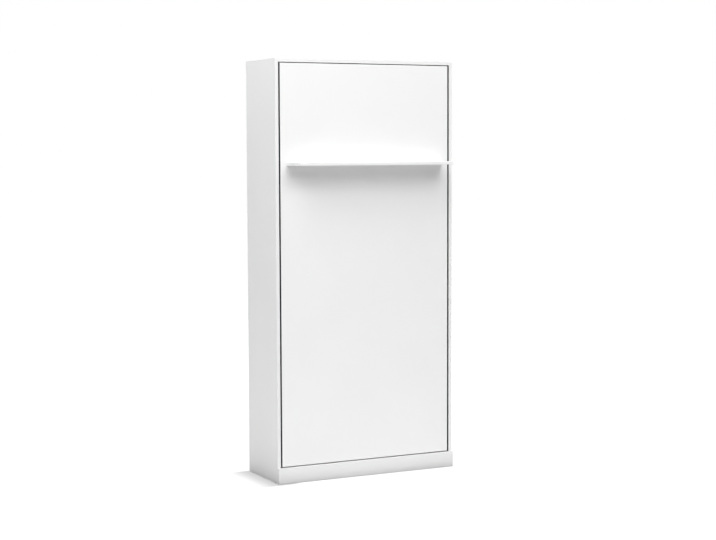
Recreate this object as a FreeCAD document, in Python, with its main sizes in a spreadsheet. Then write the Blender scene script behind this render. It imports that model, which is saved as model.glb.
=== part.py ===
"""Vertical wall bed: a single bed that folds up into a shallow cabinet.

Millimetres. +Z is up, the front faces -Y, +X is to the right as seen from the front. The origin is on
the floor, under the middle of the whole object. "Depth" below always means the way back from the front
plane of the cabinet.
"""

import FreeCAD, Part
import math
import os
import re

import Sketcher

# Driving sizes in millimetres
SIZES = {
    # Cabinet
    "board": 18,
    "bedding_room": 89.2,
    "edge_round": 1,
    "glide_height": 3,
    "glide_diameter": 15,
    "glide_inset": 40,
    "base_lift": 10,
    "back_thick": 8,
    "back_recess": 2,
    "rebate_width": 9,
    "back_play": 0.5,
    "joint_web": 2,
    "joint_flange": 9,
    "joint_skin": 1,
    "upper_rail_tall": 100,
    "lower_rail_tall": 80,
    # Plinth
    "plinth_thick": 15,
    "plinth_top": 82.6,
    "plinth_lift": 1.5,
    "bracket_leg": 28,
    "bracket_wide": 30,
    "bracket_thick": 2,
    # Wall fixing
    "wall_hole": 8.5,
    "wall_span": 700,
    "wall_rise": 50,
    "washer_outer": 22,
    "washer_thick": 2,
    # Knock-down fittings
    "cam_diameter": 15,
    "cam_deep": 13,
    "cam_reach": 24,
    "cam_slot_long": 9,
    "cam_slot_wide": 2,
    "bolt_diameter": 7,
    "bolt_screw_deep": 11,
    "fitting_inset": 50,
    "dowel_diameter": 8,
    "dowel_long": 34,
    "dowel_in_side": 11,
    "dowel_step": 40,
    # Small screws
    "screw_shank": 4,
    "screw_head": 8,
    "screw_head_tall": 1.8,
    "screw_bite": 12,
    # Door and shelf
    "door_side_gap": 8.5,
    "door_top_gap": 4,
    "door_bottom_gap": 4,
    "door_thick": 18,
    "shelf_depth": 130,
    "shelf_thick": 16,
    "shelf_under": 1615,
    "shelf_inset": 37,
    "shelf_screw": 6,
    "shelf_screw_head": 11,
    "shelf_screw_bite": 45,
    # Bed frame
    "mattress_wide": 900,
    "mattress_long": 2000,
    "mattress_thick": 180,
    "mattress_round": 16,
    "frame_margin": 9,
    "frame_rail_wide": 25,
    "frame_rail_deep": 40,
    "frame_wall": 1.5,
    "frame_lift": 5.4,
    "frame_drop": 4,
    "cap_plate": 2,
    "cap_plug": 12,
    "cross_rail_tall": 30,
    "cross_rail_deep": 30,
    "tab_leg": 25,
    "tab_tall": 40,
    "tab_thick": 3,
    "retainer_thick": 2.5,
    "retainer_reach": 70,
    "retainer_inset": 70,
    "retainer_foot": 14,
    "soft_gap": 0.3,
    # Slats
    "slat_tall": 53,
    "slat_thick": 8,
    "slat_crown": 5,
    "slat_inset": 55,
    "holder_floor": 1.5,
    "holder_wall": 2,
    "holder_inset": 2,
    "holder_long": 27,
    "holder_end": 5,
    "holder_room": 0.7,
    # Straps
    "strap_wide": 40,
    "strap_thick": 1.5,
    "buckle_wide": 62,
    "buckle_tall": 50,
    "buckle_thick": 7,
    "buckle_round": 3,
    "buckle_slot": 5,
    # Pivot and gas struts
    "pivot_depth": 150,
    "lever_radius": 185,
    "arm_thick": 5,
    "plate_thick": 4,
    "plate_wide": 90,
    "plate_low": 50,
    "plate_high": 55,
    "plate_round": 10,
    "plate_screw_shank": 5,
    "plate_screw_head": 9.5,
    "plate_screw_bite": 14,
    "pin_diameter": 16,
    "pin_collar": 24,
    "pin_play": 0.05,
    "pin_tail": 3.5,
    "clip_thick": 1.2,
    "clip_rim": 4,
    "clip_gap": 0.4,
    "bush_outer": 20,
    "bush_flange": 26,
    "bush_flange_thick": 1.5,
    "stud_diameter": 8,
    "stud_collar": 12,
    "stud_play": 0.075,
    "side_play": 0.15,
    "stud_clip_thick": 1,
    "stud_clip_rim": 2,
    "stud_tail": 1.5,
    "eye_wide": 10,
    "eye_diameter": 18,
    "eye_neck": 9,
    "strut_clear": 1.75,
    "cylinder_offset": 16,
    "cylinder_gap": 6.2,
    "cylinder_diameter": 18,
    "cylinder_wall": 1.5,
    "cylinder_base": 3,
    "gland_long": 8,
    "gland_play": 0.1,
    "rod_offset": 18,
    "rod_diameter": 8,
    "rod_clear": 15,
    "piston_long": 8,
    "piston_play": 0.3,
    "arm_foot": 8,
    "arm_top": 338,
    "arm_inset": 2,
    "arm_boss": 30,
    "arm_toe": 22,
    "arm_round": 12,
    "arm_bolt": 8,
    "arm_bolt_head": 13,
    "arm_bolt_head_tall": 5.3,
    "arm_bolt_nut_tall": 6.5,
    "arm_bolt_tail": 2,
    "arm_bolt_low": 60,
    "arm_bolt_margin": 42,
    # Stops
    "stop_clear": 3,
    "stop_deep": 38,
    "stop_tall": 60,
    "stop_pad_thick": 3,
    "stop_pad_diameter": 14,
    "stop_pad_gap": 0.3,
    "stop_top_drop": 50,
    "stop_round": 3,
    "stop_screw_step": 30,
}

# Angles in degrees
ANGLES = {
    "closed_angle": 165,
    "fold_angle": 90,
}

# Shares of the sizes that they follow
SHARES = {
    "cross_rail_low_share": 0.23,
    "cross_rail_mid_share": 0.49,
    "cross_rail_high_share": 0.73,
    "tab_first_share": 0.058,
    "tab_last_share": 0.93,
    "tab_screw_share": 0.6,
    "bracket_screw_share": 0.6,
    "strap_slats_share": 3.5,
    "stop_low_share": 0.53,
    "back_screw_side_share": 0.9,
    "shelf_screw_share": 0.9,
    "joint_share": 0.5,
    "plate_screw_share": 0.33,
}

# How many of each repeated piece
COUNTS = {
    "slat_count": 14,
    "tab_count": 4,
    "bracket_count": 4,
    "shelf_screw_count": 5,
    "back_screw_count": 6,
}

# Places worked out from the sizes
PLACES = {
    "frame_half": "mattress_wide / 2 + frame_margin",
    "inner_half": "frame_half + arm_thick + cylinder_diameter + 2 * strut_clear + plate_thick",
    "half_width": "inner_half + board",
    "bed_front": "door_thick + frame_rail_deep + holder_floor + slat_thick + slat_crown + soft_gap",
    "cabinet_depth": "bed_front + mattress_thick + bedding_room + board + back_thick + back_recess",
    "front": "(shelf_depth - cabinet_depth) / 2",
    "back": "front + cabinet_depth",
    "door_low": "plinth_top + door_bottom_gap",
    "frame_low": "door_low + frame_lift",
    "mattress_low": "frame_low + cap_plate + retainer_foot",
    "mattress_high": "mattress_low + mattress_long",
    "frame_high": "mattress_high + retainer_foot + cap_plate",
    "door_high": "frame_high + frame_drop",
    "top_under": "door_high + door_top_gap",
    "cabinet_height": "top_under + board",
    "joint_height": "cabinet_height * joint_share",
    "base_top": "base_lift + board",
    "back_panel_front": "back - back_recess - back_thick",
    "back_panel_rear": "back - back_recess",
    "rear_rail_front": "back_panel_front - board",
    "rear_rail_middle": "back_panel_front - board / 2",
    "back_half": "inner_half + rebate_width - back_play",
    "upper_rail_low": "top_under - upper_rail_tall",
    "upper_rail_middle": "top_under - upper_rail_tall / 2",
    "lower_rail_high": "base_top + lower_rail_tall",
    "lower_rail_middle": "base_top + lower_rail_tall / 2",
    "top_middle": "top_under + board / 2",
    "base_middle": "base_lift + board / 2",
    "fitting_front": "front + fitting_inset",
    "fitting_rear": "back_panel_front - fitting_inset",
    "dowel_front": "fitting_front + dowel_step",
    "dowel_rear": "fitting_rear - dowel_step",
    "cam_half": "inner_half - cam_reach",
    "bolt_end": "cam_half + cam_diameter / 2",
    "door_half": "inner_half - door_side_gap",
    "door_back": "front + door_thick",
    "shelf_half": "door_half - shelf_inset",
    "shelf_front": "front - shelf_depth",
    "shelf_top": "shelf_under + shelf_thick",
    "shelf_middle": "shelf_under + shelf_thick / 2",
    "frame_inner": "frame_half - frame_rail_wide",
    "frame_back": "door_back + frame_rail_deep",
    "frame_long": "frame_high - frame_low",
    "mattress_front": "front + bed_front",
    "mattress_back": "mattress_front + mattress_thick",
    "retainer_half": "mattress_wide / 2 - retainer_inset",
    "retainer_low_top": "mattress_low - soft_gap",
    "retainer_high_under": "mattress_high + soft_gap",
    "slat_low": "frame_low + frame_rail_wide + slat_inset - slat_tall / 2",
    "slat_high": "frame_high - frame_rail_wide - slat_inset - slat_tall / 2",
    "slat_pitch": "(slat_high - slat_low) / (slat_count - 1)",
    "slat_seat": "frame_back + holder_floor",
    "holder_outer": "frame_half - holder_inset",
    "holder_inner": "holder_outer - holder_long",
    "slat_half": "holder_outer - holder_end",
    "slat_bow": "(slat_half * slat_half + slat_crown * slat_crown) / (2 * slat_crown)",
    "holder_top": "slat_seat + slat_thick + holder_room + holder_floor",
    "tab_low": "frame_low + frame_long * tab_first_share",
    "tab_high": "frame_low + frame_long * tab_last_share",
    "tab_pitch": "(tab_high - tab_low) / (tab_count - 1)",
    "tab_screw_half": "frame_inner - tab_leg * tab_screw_share",
    "strap_gap": "slat_pitch * strap_slats_share",
    "strap_low": "slat_low + slat_tall / 2 + strap_gap - strap_wide / 2",
    "strap_high": "slat_high + slat_tall / 2 - strap_gap - strap_wide / 2",
    "strap_inner": "mattress_wide / 2 + soft_gap",
    "strap_outer": "strap_inner + strap_thick",
    "strap_under": "mattress_back + soft_gap",
    "strap_over": "strap_under + strap_thick",
    "pivot_y": "front + pivot_depth",
    "pivot_z": "shelf_depth + pivot_depth",
    "anchor_z": "pivot_z + lever_radius",
    "rod_stud_y": "pivot_y + lever_radius * sin(closed_angle)",
    "rod_stud_z": "pivot_z + lever_radius * cos(closed_angle)",
    "strut_open": "2 * lever_radius * sin((closed_angle - fold_angle) / 2)",
    "cylinder_long": "strut_open - rod_offset - cylinder_offset - cylinder_gap",
    "rod_long": "strut_open - rod_offset - cylinder_offset - cylinder_base - rod_clear",
    "strut_lean": "(180 - closed_angle) / 2",
    "arm_near": "frame_half",
    "arm_far": "frame_half + arm_thick",
    "plate_near": "inner_half - plate_thick",
    "strut_middle": "(arm_far + plate_near) / 2",
    "eye_near": "strut_middle - eye_wide / 2",
    "eye_far": "strut_middle + eye_wide / 2",
    "plate_front": "pivot_y - plate_wide / 2",
    "plate_rear": "pivot_y + plate_wide / 2",
    "plate_under": "pivot_z - plate_low",
    "plate_over": "anchor_z + plate_high",
    "plate_screw_across": "plate_wide * plate_screw_share",
    "bush_face": "arm_far + bush_flange_thick",
    "pin_end": "arm_near - pin_tail",
    "stop_near": "frame_half + stop_clear",
    "stop_front": "door_back + stop_pad_gap + stop_pad_thick",
    "stop_rear": "stop_front + stop_deep",
    "stop_high": "top_under - stop_top_drop",
    "stop_low": "cabinet_height * stop_low_share",
    "stop_middle": "(stop_near + door_half) / 2",
    "bolt_y": "door_back + frame_rail_deep / 2",
    "bolt_low": "frame_low + arm_bolt_low",
    "arm_bolt_step": "(arm_top - arm_bolt_low - arm_bolt_margin) / 2",
    "bracket_screw": "bracket_leg * bracket_screw_share",
    "back_screw_side": "inner_half + rebate_width / 2",
    "back_screw_low": "lower_rail_middle",
    "back_screw_high": "upper_rail_middle",
}

SIDES = {"left": "-1", "right": "1"}

# Two places closer than this are the same place
TOUCH = 1e-6

# The origin plane that each pair of axes names
PLANES = {"XY": "XY_Plane", "XZ": "XZ_Plane", "YZ": "YZ_Plane"}

document = FreeCAD.newDocument("WallBed")
sheet = document.addObject("Spreadsheet::Sheet", "Sizes")
values = {}
for table in (SIZES, ANGLES, SHARES, COUNTS):
    for word, number in table.items():
        values[word] = number
        cell = "A%d" % len(values)
        sheet.set(cell, str(number))
        sheet.setAlias(cell, word)
document.recompute()

pieces = []


def bound(text):
    """Write a formula of size and place names as an expression on the sheet."""
    def replace(match):
        word = match.group(0)
        if word in PLACES:
            return "(" + bound(PLACES[word]) + ")"
        if word in values:
            return "Sizes." + word
        return word
    return re.sub(r"[a-z]+[a-z0-9_]*", replace, text)


def new_body(label):
    """Start a sub-part: a body whose label names its file."""
    body = document.addObject("PartDesign::Body", label)
    body.Label = label
    body.AllowCompound = True
    pieces.append(body)
    return body


def new_sketch(body, plane, offset):
    """Start a sketch on one of the body's own origin planes, moved along the plane's normal."""
    sketch = body.newObject("Sketcher::SketchObject", body.Label + "_sketch")
    role = PLANES[plane]
    support = [feature for feature in body.Origin.OriginFeatures if feature.Role == role][0]
    sketch.AttachmentSupport = [(support, "")]
    sketch.MapMode = "FlatFace"
    sketch.setExpression("AttachmentOffset.Base.z", bound(offset))
    return sketch


def hold(sketch, geometry, point, across, up):
    """Tie a point of the sketch to two formulas."""
    start = sketch.getPoint(geometry, point)
    for kind, value, text in (("DistanceX", start.x, across), ("DistanceY", start.y, up)):
        number = sketch.addConstraint(Sketcher.Constraint(kind, -1, 1, geometry, point, value))
        sketch.setExpression("Constraints[%d]" % number, bound(text))


class Outline:
    """A closed outline of straight lines through corners given as formulas."""

    def __init__(self, *corners):
        self.corners = corners

    def draw(self, sketch):
        """Add the lines, join them end to end and tie each corner."""
        first = sketch.GeometryCount
        count = len(self.corners)
        turns = [2 * math.pi * index / count for index in range(count)]
        spots = [FreeCAD.Vector(math.cos(turn), math.sin(turn), 0) for turn in turns]
        for index in range(count):
            line = Part.LineSegment(spots[index], spots[(index + 1) % count])
            sketch.addGeometry(line, False)
        for index in range(count):
            following = first + (index + 1) % count
            sketch.addConstraint(Sketcher.Constraint("Coincident", first + index, 2, following, 1))
        for index, (across, up) in enumerate(self.corners):
            hold(sketch, first + index, 1, across, up)


class Rectangle(Outline):
    """A rectangle from left to right and from low to high."""

    def __init__(self, left, right, low, high):
        super().__init__((left, low), (right, low), (right, high), (left, high))


class Circle:
    """A circle round a centre."""

    def __init__(self, across, up, diameter):
        self.across = across
        self.up = up
        self.diameter = diameter

    def draw(self, sketch):
        """Add the circle and tie its centre and diameter."""
        start = Part.Circle(FreeCAD.Vector(0, 0, 0), FreeCAD.Vector(0, 0, 1), 1)
        circle = sketch.addGeometry(start, False)
        hold(sketch, circle, 3, self.across, self.up)
        number = sketch.addConstraint(Sketcher.Constraint("Diameter", circle, 2))
        sketch.setExpression("Constraints[%d]" % number, bound(self.diameter))


def add(body, plane, start, end, *shapes, taper=0):
    """Pad shapes from one place to another along the plane's axis."""
    offset = "-(%s)" % end if plane == "XZ" else start
    sketch = new_sketch(body, plane, offset)
    for shape in shapes:
        shape.draw(sketch)
    feature = body.newObject("PartDesign::Pad", body.Label + "_pad")
    feature.Profile = sketch
    feature.setExpression("Length", bound("(%s) - (%s)" % (end, start)))
    feature.TaperAngle = taper
    return feature


def cut(body, plane, start, end, *shapes, taper=0, from_start=False):
    """Cut shapes out between two places along the plane's axis, from the far one unless told."""
    mouth = start if (plane == "XZ") != from_start else end
    sketch = new_sketch(body, plane, "-(%s)" % mouth if plane == "XZ" else mouth)
    for shape in shapes:
        shape.draw(sketch)
    feature = body.newObject("PartDesign::Pocket", body.Label + "_cut")
    feature.Profile = sketch
    feature.Reversed = from_start
    feature.setExpression("Length", bound("(%s) - (%s)" % (end, start)))
    feature.TaperAngle = taper
    return feature


def turn(body, outline):
    """Turn an outline drawn on the XZ plane about the body's own X axis."""
    sketch = new_sketch(body, "XZ", "0")
    outline.draw(sketch)
    feature = body.newObject("PartDesign::Revolution", body.Label + "_turn")
    feature.Profile = sketch
    feature.ReferenceAxis = (sketch, ["H_Axis"])
    feature.Angle = 360
    return feature


def mirror(body, originals, plane="YZ_Plane"):
    """Copy features to the other side of one of the body's origin planes."""
    feature = body.newObject("PartDesign::Mirrored", body.Label + "_mirror")
    feature.Originals = originals
    support = [item for item in body.Origin.OriginFeatures if item.Role == plane][0]
    feature.MirrorPlane = (support, [""])
    body.Tip = feature
    return feature


def repeat(body, originals, sketch_axis, length, count):
    """Copy features in a row along an axis of their own sketch."""
    feature = body.newObject("PartDesign::LinearPattern", body.Label + "_row")
    feature.Originals = originals
    feature.Direction = (originals[0].Profile[0], [sketch_axis])
    feature.setExpression("Length", bound(length))
    feature.setExpression("Occurrences", bound(count))
    body.Tip = feature
    return feature


def flat_on(axis, lowest):
    """Make a test for edges that lie in the outermost plane across an axis."""
    low_name = axis + ("Min" if lowest else "Max")
    other_name = axis + ("Max" if lowest else "Min")

    def test(edge, shape):
        place = getattr(shape.BoundBox, low_name)
        same_low = math.isclose(getattr(edge.BoundBox, low_name), place, abs_tol=TOUCH)
        same_other = math.isclose(getattr(edge.BoundBox, other_name), place, abs_tol=TOUCH)
        return same_low and same_other
    return test


def along(axis):
    """Make a test for edges that run along an axis."""
    others = [name for name in "XYZ" if name != axis]

    def test(edge, shape):
        for name in others:
            low = getattr(edge.BoundBox, name + "Min")
            high = getattr(edge.BoundBox, name + "Max")
            if not math.isclose(low, high, abs_tol=TOUCH):
                return False
        return True
    return test


def upright_at(edge, depth):
    """Say whether an upright edge stands at a depth."""
    return along("Z")(edge, None) and math.isclose(edge.BoundBox.YMin, depth, abs_tol=TOUCH)


def rear_upright(edge, shape):
    """Pick the upright edges at the very rear of a shape."""
    return upright_at(edge, shape.BoundBox.YMax)


def round_edges(body, radius, test):
    """Round the edges that a test picks."""
    document.recompute()
    base = body.Tip
    shape = base.Shape
    names = ["Edge%d" % (index + 1) for index, edge in enumerate(shape.Edges) if test(edge, shape)]
    if not names:
        raise RuntimeError(body.Label + ": no edge to round")
    feature = body.newObject("PartDesign::Fillet", body.Label + "_round")
    feature.Base = (base, names)
    feature.setExpression("Radius", bound(radius))
    return feature


def place(body, across, deep, up):
    """Tie the body's own origin to a place in the object."""
    for name, text in (("x", across), ("y", deep), ("z", up)):
        body.setExpression("Placement.Base." + name, bound(text))


def place_turned(body, across, deep, up, angle):
    """Place a body whose own Z axis leans from the object's Z axis by a turn about X."""
    start = FreeCAD.Rotation(FreeCAD.Vector(1, 0, 0), 1)
    body.Placement = FreeCAD.Placement(FreeCAD.Vector(0, 0, 0), start)
    place(body, across, deep, up)
    body.setExpression("Placement.Rotation.Angle", bound(angle))


def span(side, near, far):
    """Give the two X places of a piece that lies between near and far from the middle."""
    if side == "left":
        return "-(%s)" % far, "-(%s)" % near
    return near, far


def fitting_rows():
    """List the depths and heights where boards meet the side panels with a cam and its bolt."""
    rows = []
    for height in ("top_middle", "base_middle"):
        for depth in ("fitting_front", "fitting_rear"):
            rows.append((depth, height))
    for height in ("upper_rail_middle", "lower_rail_middle"):
        rows.append(("rear_rail_middle", height))
    return rows


def dowel_rows():
    """List the depths and heights of the dowels between the boards and the side panels."""
    heights = ("top_middle", "base_middle")
    return [(depth, height) for height in heights for depth in ("dowel_front", "dowel_rear")]


def plate_screw_rows():
    """List the depths and heights of the screws of one mount plate."""
    heights = ("plate_under + plate_screw_across / 2", "pivot_z + lever_radius / 2",
               "plate_over - plate_screw_across / 2")
    depths = ("pivot_y - plate_screw_across", "pivot_y + plate_screw_across")
    return [(depth, height) for height in heights for depth in depths]


def stop_heights():
    """List the lower edges of the stop blocks."""
    return ("stop_high - stop_tall", "stop_low")


def stop_screw_rows():
    """List the depths and heights of the screws that hold the stop blocks."""
    depth = "(stop_front + stop_rear) / 2"
    rows = []
    for low in stop_heights():
        middle = "%s + stop_tall / 2" % low
        rows.append((depth, "%s - stop_screw_step / 2" % middle))
        rows.append((depth, "%s + stop_screw_step / 2" % middle))
    return rows


def bracket_places():
    """List the middles of the plinth brackets along the cabinet's width."""
    count = COUNTS["bracket_count"]
    step = "(2 * inner_half / bracket_count)"
    return ["(%s) * %s" % (index - (count - 1) / 2, step) for index in range(count)]


def row_across(count_name, half):
    """Spread a counted row of places evenly from one side to the other."""
    count = COUNTS[count_name]
    shares = [2 * index / (count - 1) - 1 for index in range(count)]
    return ["%s * (%s)" % (share, half) for share in shares]


def back_screw_places():
    """List the X and Z places of the screws in the back panels."""
    rows = []
    for across in row_across("back_screw_count", "inner_half * back_screw_side_share"):
        rows.append((across, "back_screw_low"))
        rows.append((across, "back_screw_high"))
    for index in range(COUNTS["back_screw_count"]):
        height = "base_top + (top_under - base_top) * %s" % ((index + 1) / (COUNTS["back_screw_count"] + 1))
        rows.append(("back_screw_side", height))
        rows.append(("-back_screw_side", height))
    return rows


def wall_holes():
    """List the X and Z places of the wall fixing holes, upper four and lower two."""
    rows = []
    for sign in ("-1", "1"):
        rows.append((sign + " * wall_span / 2", "upper_rail_middle - wall_rise / 2"))
        rows.append((sign + " * wall_span / 2", "upper_rail_middle + wall_rise / 2"))
    for sign in ("-1", "1"):
        rows.append((sign + " * wall_span / 2", "lower_rail_middle"))
    return rows


def shelf_screw_places():
    """List the X places of the screws that hold the shelf."""
    return row_across("shelf_screw_count", "shelf_half * shelf_screw_share")


def make_side_panel(side):
    """Side panel with the rebate for the back and the blind holes on its inner face."""
    body = new_body(side + "_side_panel")
    start, end = span(side, "inner_half", "half_width")
    add(body, "YZ", start, end, Rectangle("front", "back", "glide_height", "cabinet_height"))
    low, high = span(side, "inner_half", "inner_half + rebate_width")
    cut(body, "YZ", low, high, Rectangle("back_panel_front", "back", "glide_height", "top_under"))
    holes = (
        ("bolt_screw_deep", "bolt_diameter", fitting_rows()),
        ("dowel_in_side", "dowel_diameter", dowel_rows()),
        ("plate_screw_bite", "plate_screw_shank", plate_screw_rows()),
        ("screw_bite", "screw_shank", stop_screw_rows()),
    )
    for deep, diameter, rows in holes:
        low, high = span(side, "inner_half", "inner_half + " + deep)
        circles = [Circle(depth, height, diameter) for depth, height in rows]
        cut(body, "YZ", low, high, *circles, from_start=side == "right")
    circles = [Circle("back_screw_side" if side == "right" else "-back_screw_side", height, "screw_shank")
               for across, height in back_screw_places() if across == "back_screw_side"]
    cut(body, "XZ", "back_panel_front - screw_bite", "back_panel_front", *circles, from_start=True)
    round_edges(body, "edge_round", flat_on("Y", True))


def make_cross_panel(label, low, rear):
    """Top or base panel between the side panels, with cams from below and holes in its ends."""
    body = new_body(label)
    high = "%s + board" % low
    add(body, "XY", low, high, Rectangle("-inner_half", "inner_half", "front", rear))
    middle = "%s + board / 2" % low
    cams = [Circle(sign + "cam_half", depth, "cam_diameter") for sign in ("", "-")
            for depth in ("fitting_front", "fitting_rear")]
    cut(body, "XY", low, "%s + cam_deep" % low, *cams, from_start=True)
    for side in SIDES:
        for reach, diameter, depths in (
                ("cam_half", "bolt_diameter", ("fitting_front", "fitting_rear")),
                ("inner_half - dowel_long + dowel_in_side", "dowel_diameter",
                 ("dowel_front", "dowel_rear"))):
            start, end = span(side, reach, "inner_half")
            circles = [Circle(depth, middle, diameter) for depth in depths]
            cut(body, "YZ", start, end, *circles, from_start=side == "left")
    if label == "top_panel":
        round_edges(body, "edge_round", flat_on("Y", True))
    else:
        circles = [Circle(across, "front + bracket_screw", "screw_shank") for across in bracket_places()]
        cut(body, "XY", "%s - screw_bite" % high, high, *circles)


def make_rear_rail(label, low, high, wall_rows, back_rows):
    """Rail behind the bed that ties the side panels together and takes the wall screws."""
    body = new_body(label)
    middle = "((%s) + (%s)) / 2" % (low, high)
    face = Rectangle("-inner_half", "inner_half", low, high)
    add(body, "XZ", "rear_rail_front", "back_panel_front", face)
    cams = [Circle(sign + "cam_half", middle, "cam_diameter") for sign in ("", "-")]
    cut(body, "XZ", "rear_rail_front", "rear_rail_front + cam_deep", *cams)
    for side in SIDES:
        start, end = span(side, "cam_half", "inner_half")
        bolt = Circle("rear_rail_middle", middle, "bolt_diameter")
        cut(body, "YZ", start, end, bolt, from_start=side == "left")
    holes = [Circle(across, height, "wall_hole") for across, height in wall_rows]
    cut(body, "XZ", "rear_rail_front", "back_panel_front", *holes)
    screws = [Circle(across, height, "screw_shank") for across, height in back_rows]
    cut(body, "XZ", "back_panel_front - screw_bite", "back_panel_front", *screws, from_start=True)


def make_back_panel(label, low, high, rows, holes):
    """One half of the back, in the side panels' rebates."""
    body = new_body(label)
    add(body, "XZ", "back_panel_front", "back_panel_rear", Rectangle("-back_half", "back_half", low, high))
    circles = [Circle(across, height, "screw_shank") for across, height in rows]
    circles += [Circle(across, height, "wall_hole") for across, height in holes]
    cut(body, "XZ", "back_panel_front", "back_panel_rear", *circles)


def make_joint_strip():
    """H-section strip that joins the two halves of the back."""
    body = new_body("back_joint_strip")
    web_low = "joint_height - joint_web / 2"
    web_high = "joint_height + joint_web / 2"
    low = "joint_height - joint_flange"
    high = "joint_height + joint_flange"
    inner = "back_panel_front - joint_skin"
    outer = "back_panel_rear + joint_skin"
    section = Outline(
        (inner, low), ("back_panel_front", low), ("back_panel_front", web_low),
        ("back_panel_rear", web_low), ("back_panel_rear", low), (outer, low),
        (outer, high), ("back_panel_rear", high), ("back_panel_rear", web_high),
        ("back_panel_front", web_high), ("back_panel_front", high), (inner, high))
    add(body, "YZ", "-inner_half + back_play", "inner_half - back_play", section)


def make_plinth():
    """Plinth board across the front, and the angle brackets that tie it to the base panel."""
    board = new_body("plinth_board")
    plan = Rectangle("-half_width", "half_width", "plinth_lift", "plinth_top")
    add(board, "XZ", "front - plinth_thick", "front", plan)
    screws = [Circle(across, "base_top + bracket_screw", "screw_shank") for across in bracket_places()]
    cut(board, "XZ", "front - screw_bite", "front", *screws, from_start=True)
    round_edges(board, "edge_round", flat_on("Y", True))
    brackets = new_body("plinth_brackets")
    section = Outline(
        ("front", "base_top"), ("front + bracket_leg", "base_top"),
        ("front + bracket_leg", "base_top + bracket_thick"),
        ("front + bracket_thick", "base_top + bracket_thick"),
        ("front + bracket_thick", "base_top + bracket_leg"), ("front", "base_top + bracket_leg"))
    for across in bracket_places():
        add(brackets, "YZ", "%s - bracket_wide / 2" % across, "%s + bracket_wide / 2" % across, section)
    down = [Circle(across, "front + bracket_screw", "screw_shank") for across in bracket_places()]
    cut(brackets, "XY", "base_top", "base_top + bracket_thick", *down)
    cut(brackets, "XZ", "front", "front + bracket_thick", *screws)


def make_cabinet_screws():
    """Pan-head screws of the plinth brackets and of the stop blocks."""
    body = new_body("cabinet_screws")
    face = "base_top + bracket_thick"
    spots = [(across, "front + bracket_screw") for across in bracket_places()]
    add(body, "XY", "base_top - screw_bite", face, *[Circle(x, y, "screw_shank") for x, y in spots])
    add(body, "XY", face, face + " + screw_head_tall", *[Circle(x, y, "screw_head") for x, y in spots])
    face = "front + bracket_thick"
    spots = [(across, "base_top + bracket_screw") for across in bracket_places()]
    add(body, "XZ", "front - screw_bite", face, *[Circle(x, z, "screw_shank") for x, z in spots])
    add(body, "XZ", face, face + " + screw_head_tall", *[Circle(x, z, "screw_head") for x, z in spots])
    for side in SIDES:
        start, end = span(side, "stop_near + screw_head_tall", "inner_half + screw_bite")
        add(body, "YZ", start, end, *[Circle(y, z, "screw_shank") for y, z in stop_screw_rows()])
        start, end = span(side, "stop_near", "stop_near + screw_head_tall")
        add(body, "YZ", start, end, *[Circle(y, z, "screw_head") for y, z in stop_screw_rows()])


def make_floor_glides():
    """Nailed-on glides under the two side panels."""
    body = new_body("floor_glides")
    spots = [(sign + "(half_width - board / 2)", depth) for sign in ("", "-")
             for depth in ("front + glide_inset", "back - glide_inset")]
    add(body, "XY", "0", "glide_height", *[Circle(x, y, "glide_diameter") for x, y in spots])


def make_wall_washers():
    """Washers under the heads of the wall screws, on the front of the rear rails."""
    body = new_body("wall_washers")
    start = "rear_rail_front - washer_thick"
    add(body, "XZ", start, "rear_rail_front", *[Circle(x, z, "washer_outer") for x, z in wall_holes()])
    cut(body, "XZ", start, "rear_rail_front", *[Circle(x, z, "wall_hole") for x, z in wall_holes()])


def make_cam_housings():
    """Cam discs in the top panel, the base panel and the rear rails, each with a driver slot."""
    body = new_body("cam_housings")
    depths = ("fitting_front", "fitting_rear")
    spots = [(sign + "cam_half", depth) for sign in ("", "-") for depth in depths]
    for low in ("top_under", "base_lift"):
        add(body, "XY", low, low + " + cam_deep", *[Circle(x, y, "cam_diameter") for x, y in spots])
        slots = [Rectangle(x + " - cam_slot_long / 2", x + " + cam_slot_long / 2",
                           y + " - cam_slot_wide / 2", y + " + cam_slot_wide / 2") for x, y in spots]
        cut(body, "XY", low, low + " + cam_slot_wide", *slots, from_start=True)
    heights = ("upper_rail_middle", "lower_rail_middle")
    spots = [(sign + "cam_half", height) for sign in ("", "-") for height in heights]
    start = "rear_rail_front"
    add(body, "XZ", start, start + " + cam_deep", *[Circle(x, z, "cam_diameter") for x, z in spots])
    slots = [Rectangle(x + " - cam_slot_long / 2", x + " + cam_slot_long / 2",
                       z + " - cam_slot_wide / 2", z + " + cam_slot_wide / 2") for x, z in spots]
    cut(body, "XZ", start, start + " + cam_slot_wide", *slots)


def make_side_rods(label, diameter, near, far, rows):
    """Cam bolts or dowels: short rods across the joints between boards and side panels."""
    body = new_body(label)
    for side in SIDES:
        start, end = span(side, near, far)
        add(body, "YZ", start, end, *[Circle(depth, height, diameter) for depth, height in rows])


def make_back_screws():
    """Flat-head screws of the back panels, sunk behind the cabinet's rear edge."""
    body = new_body("back_panel_screws")
    spots = back_screw_places()
    rear = "back_panel_rear"
    add(body, "XZ", "back_panel_front - screw_bite", rear, *[Circle(x, z, "screw_shank") for x, z in spots])
    add(body, "XZ", rear, rear + " + screw_head_tall", *[Circle(x, z, "screw_head") for x, z in spots])


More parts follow.
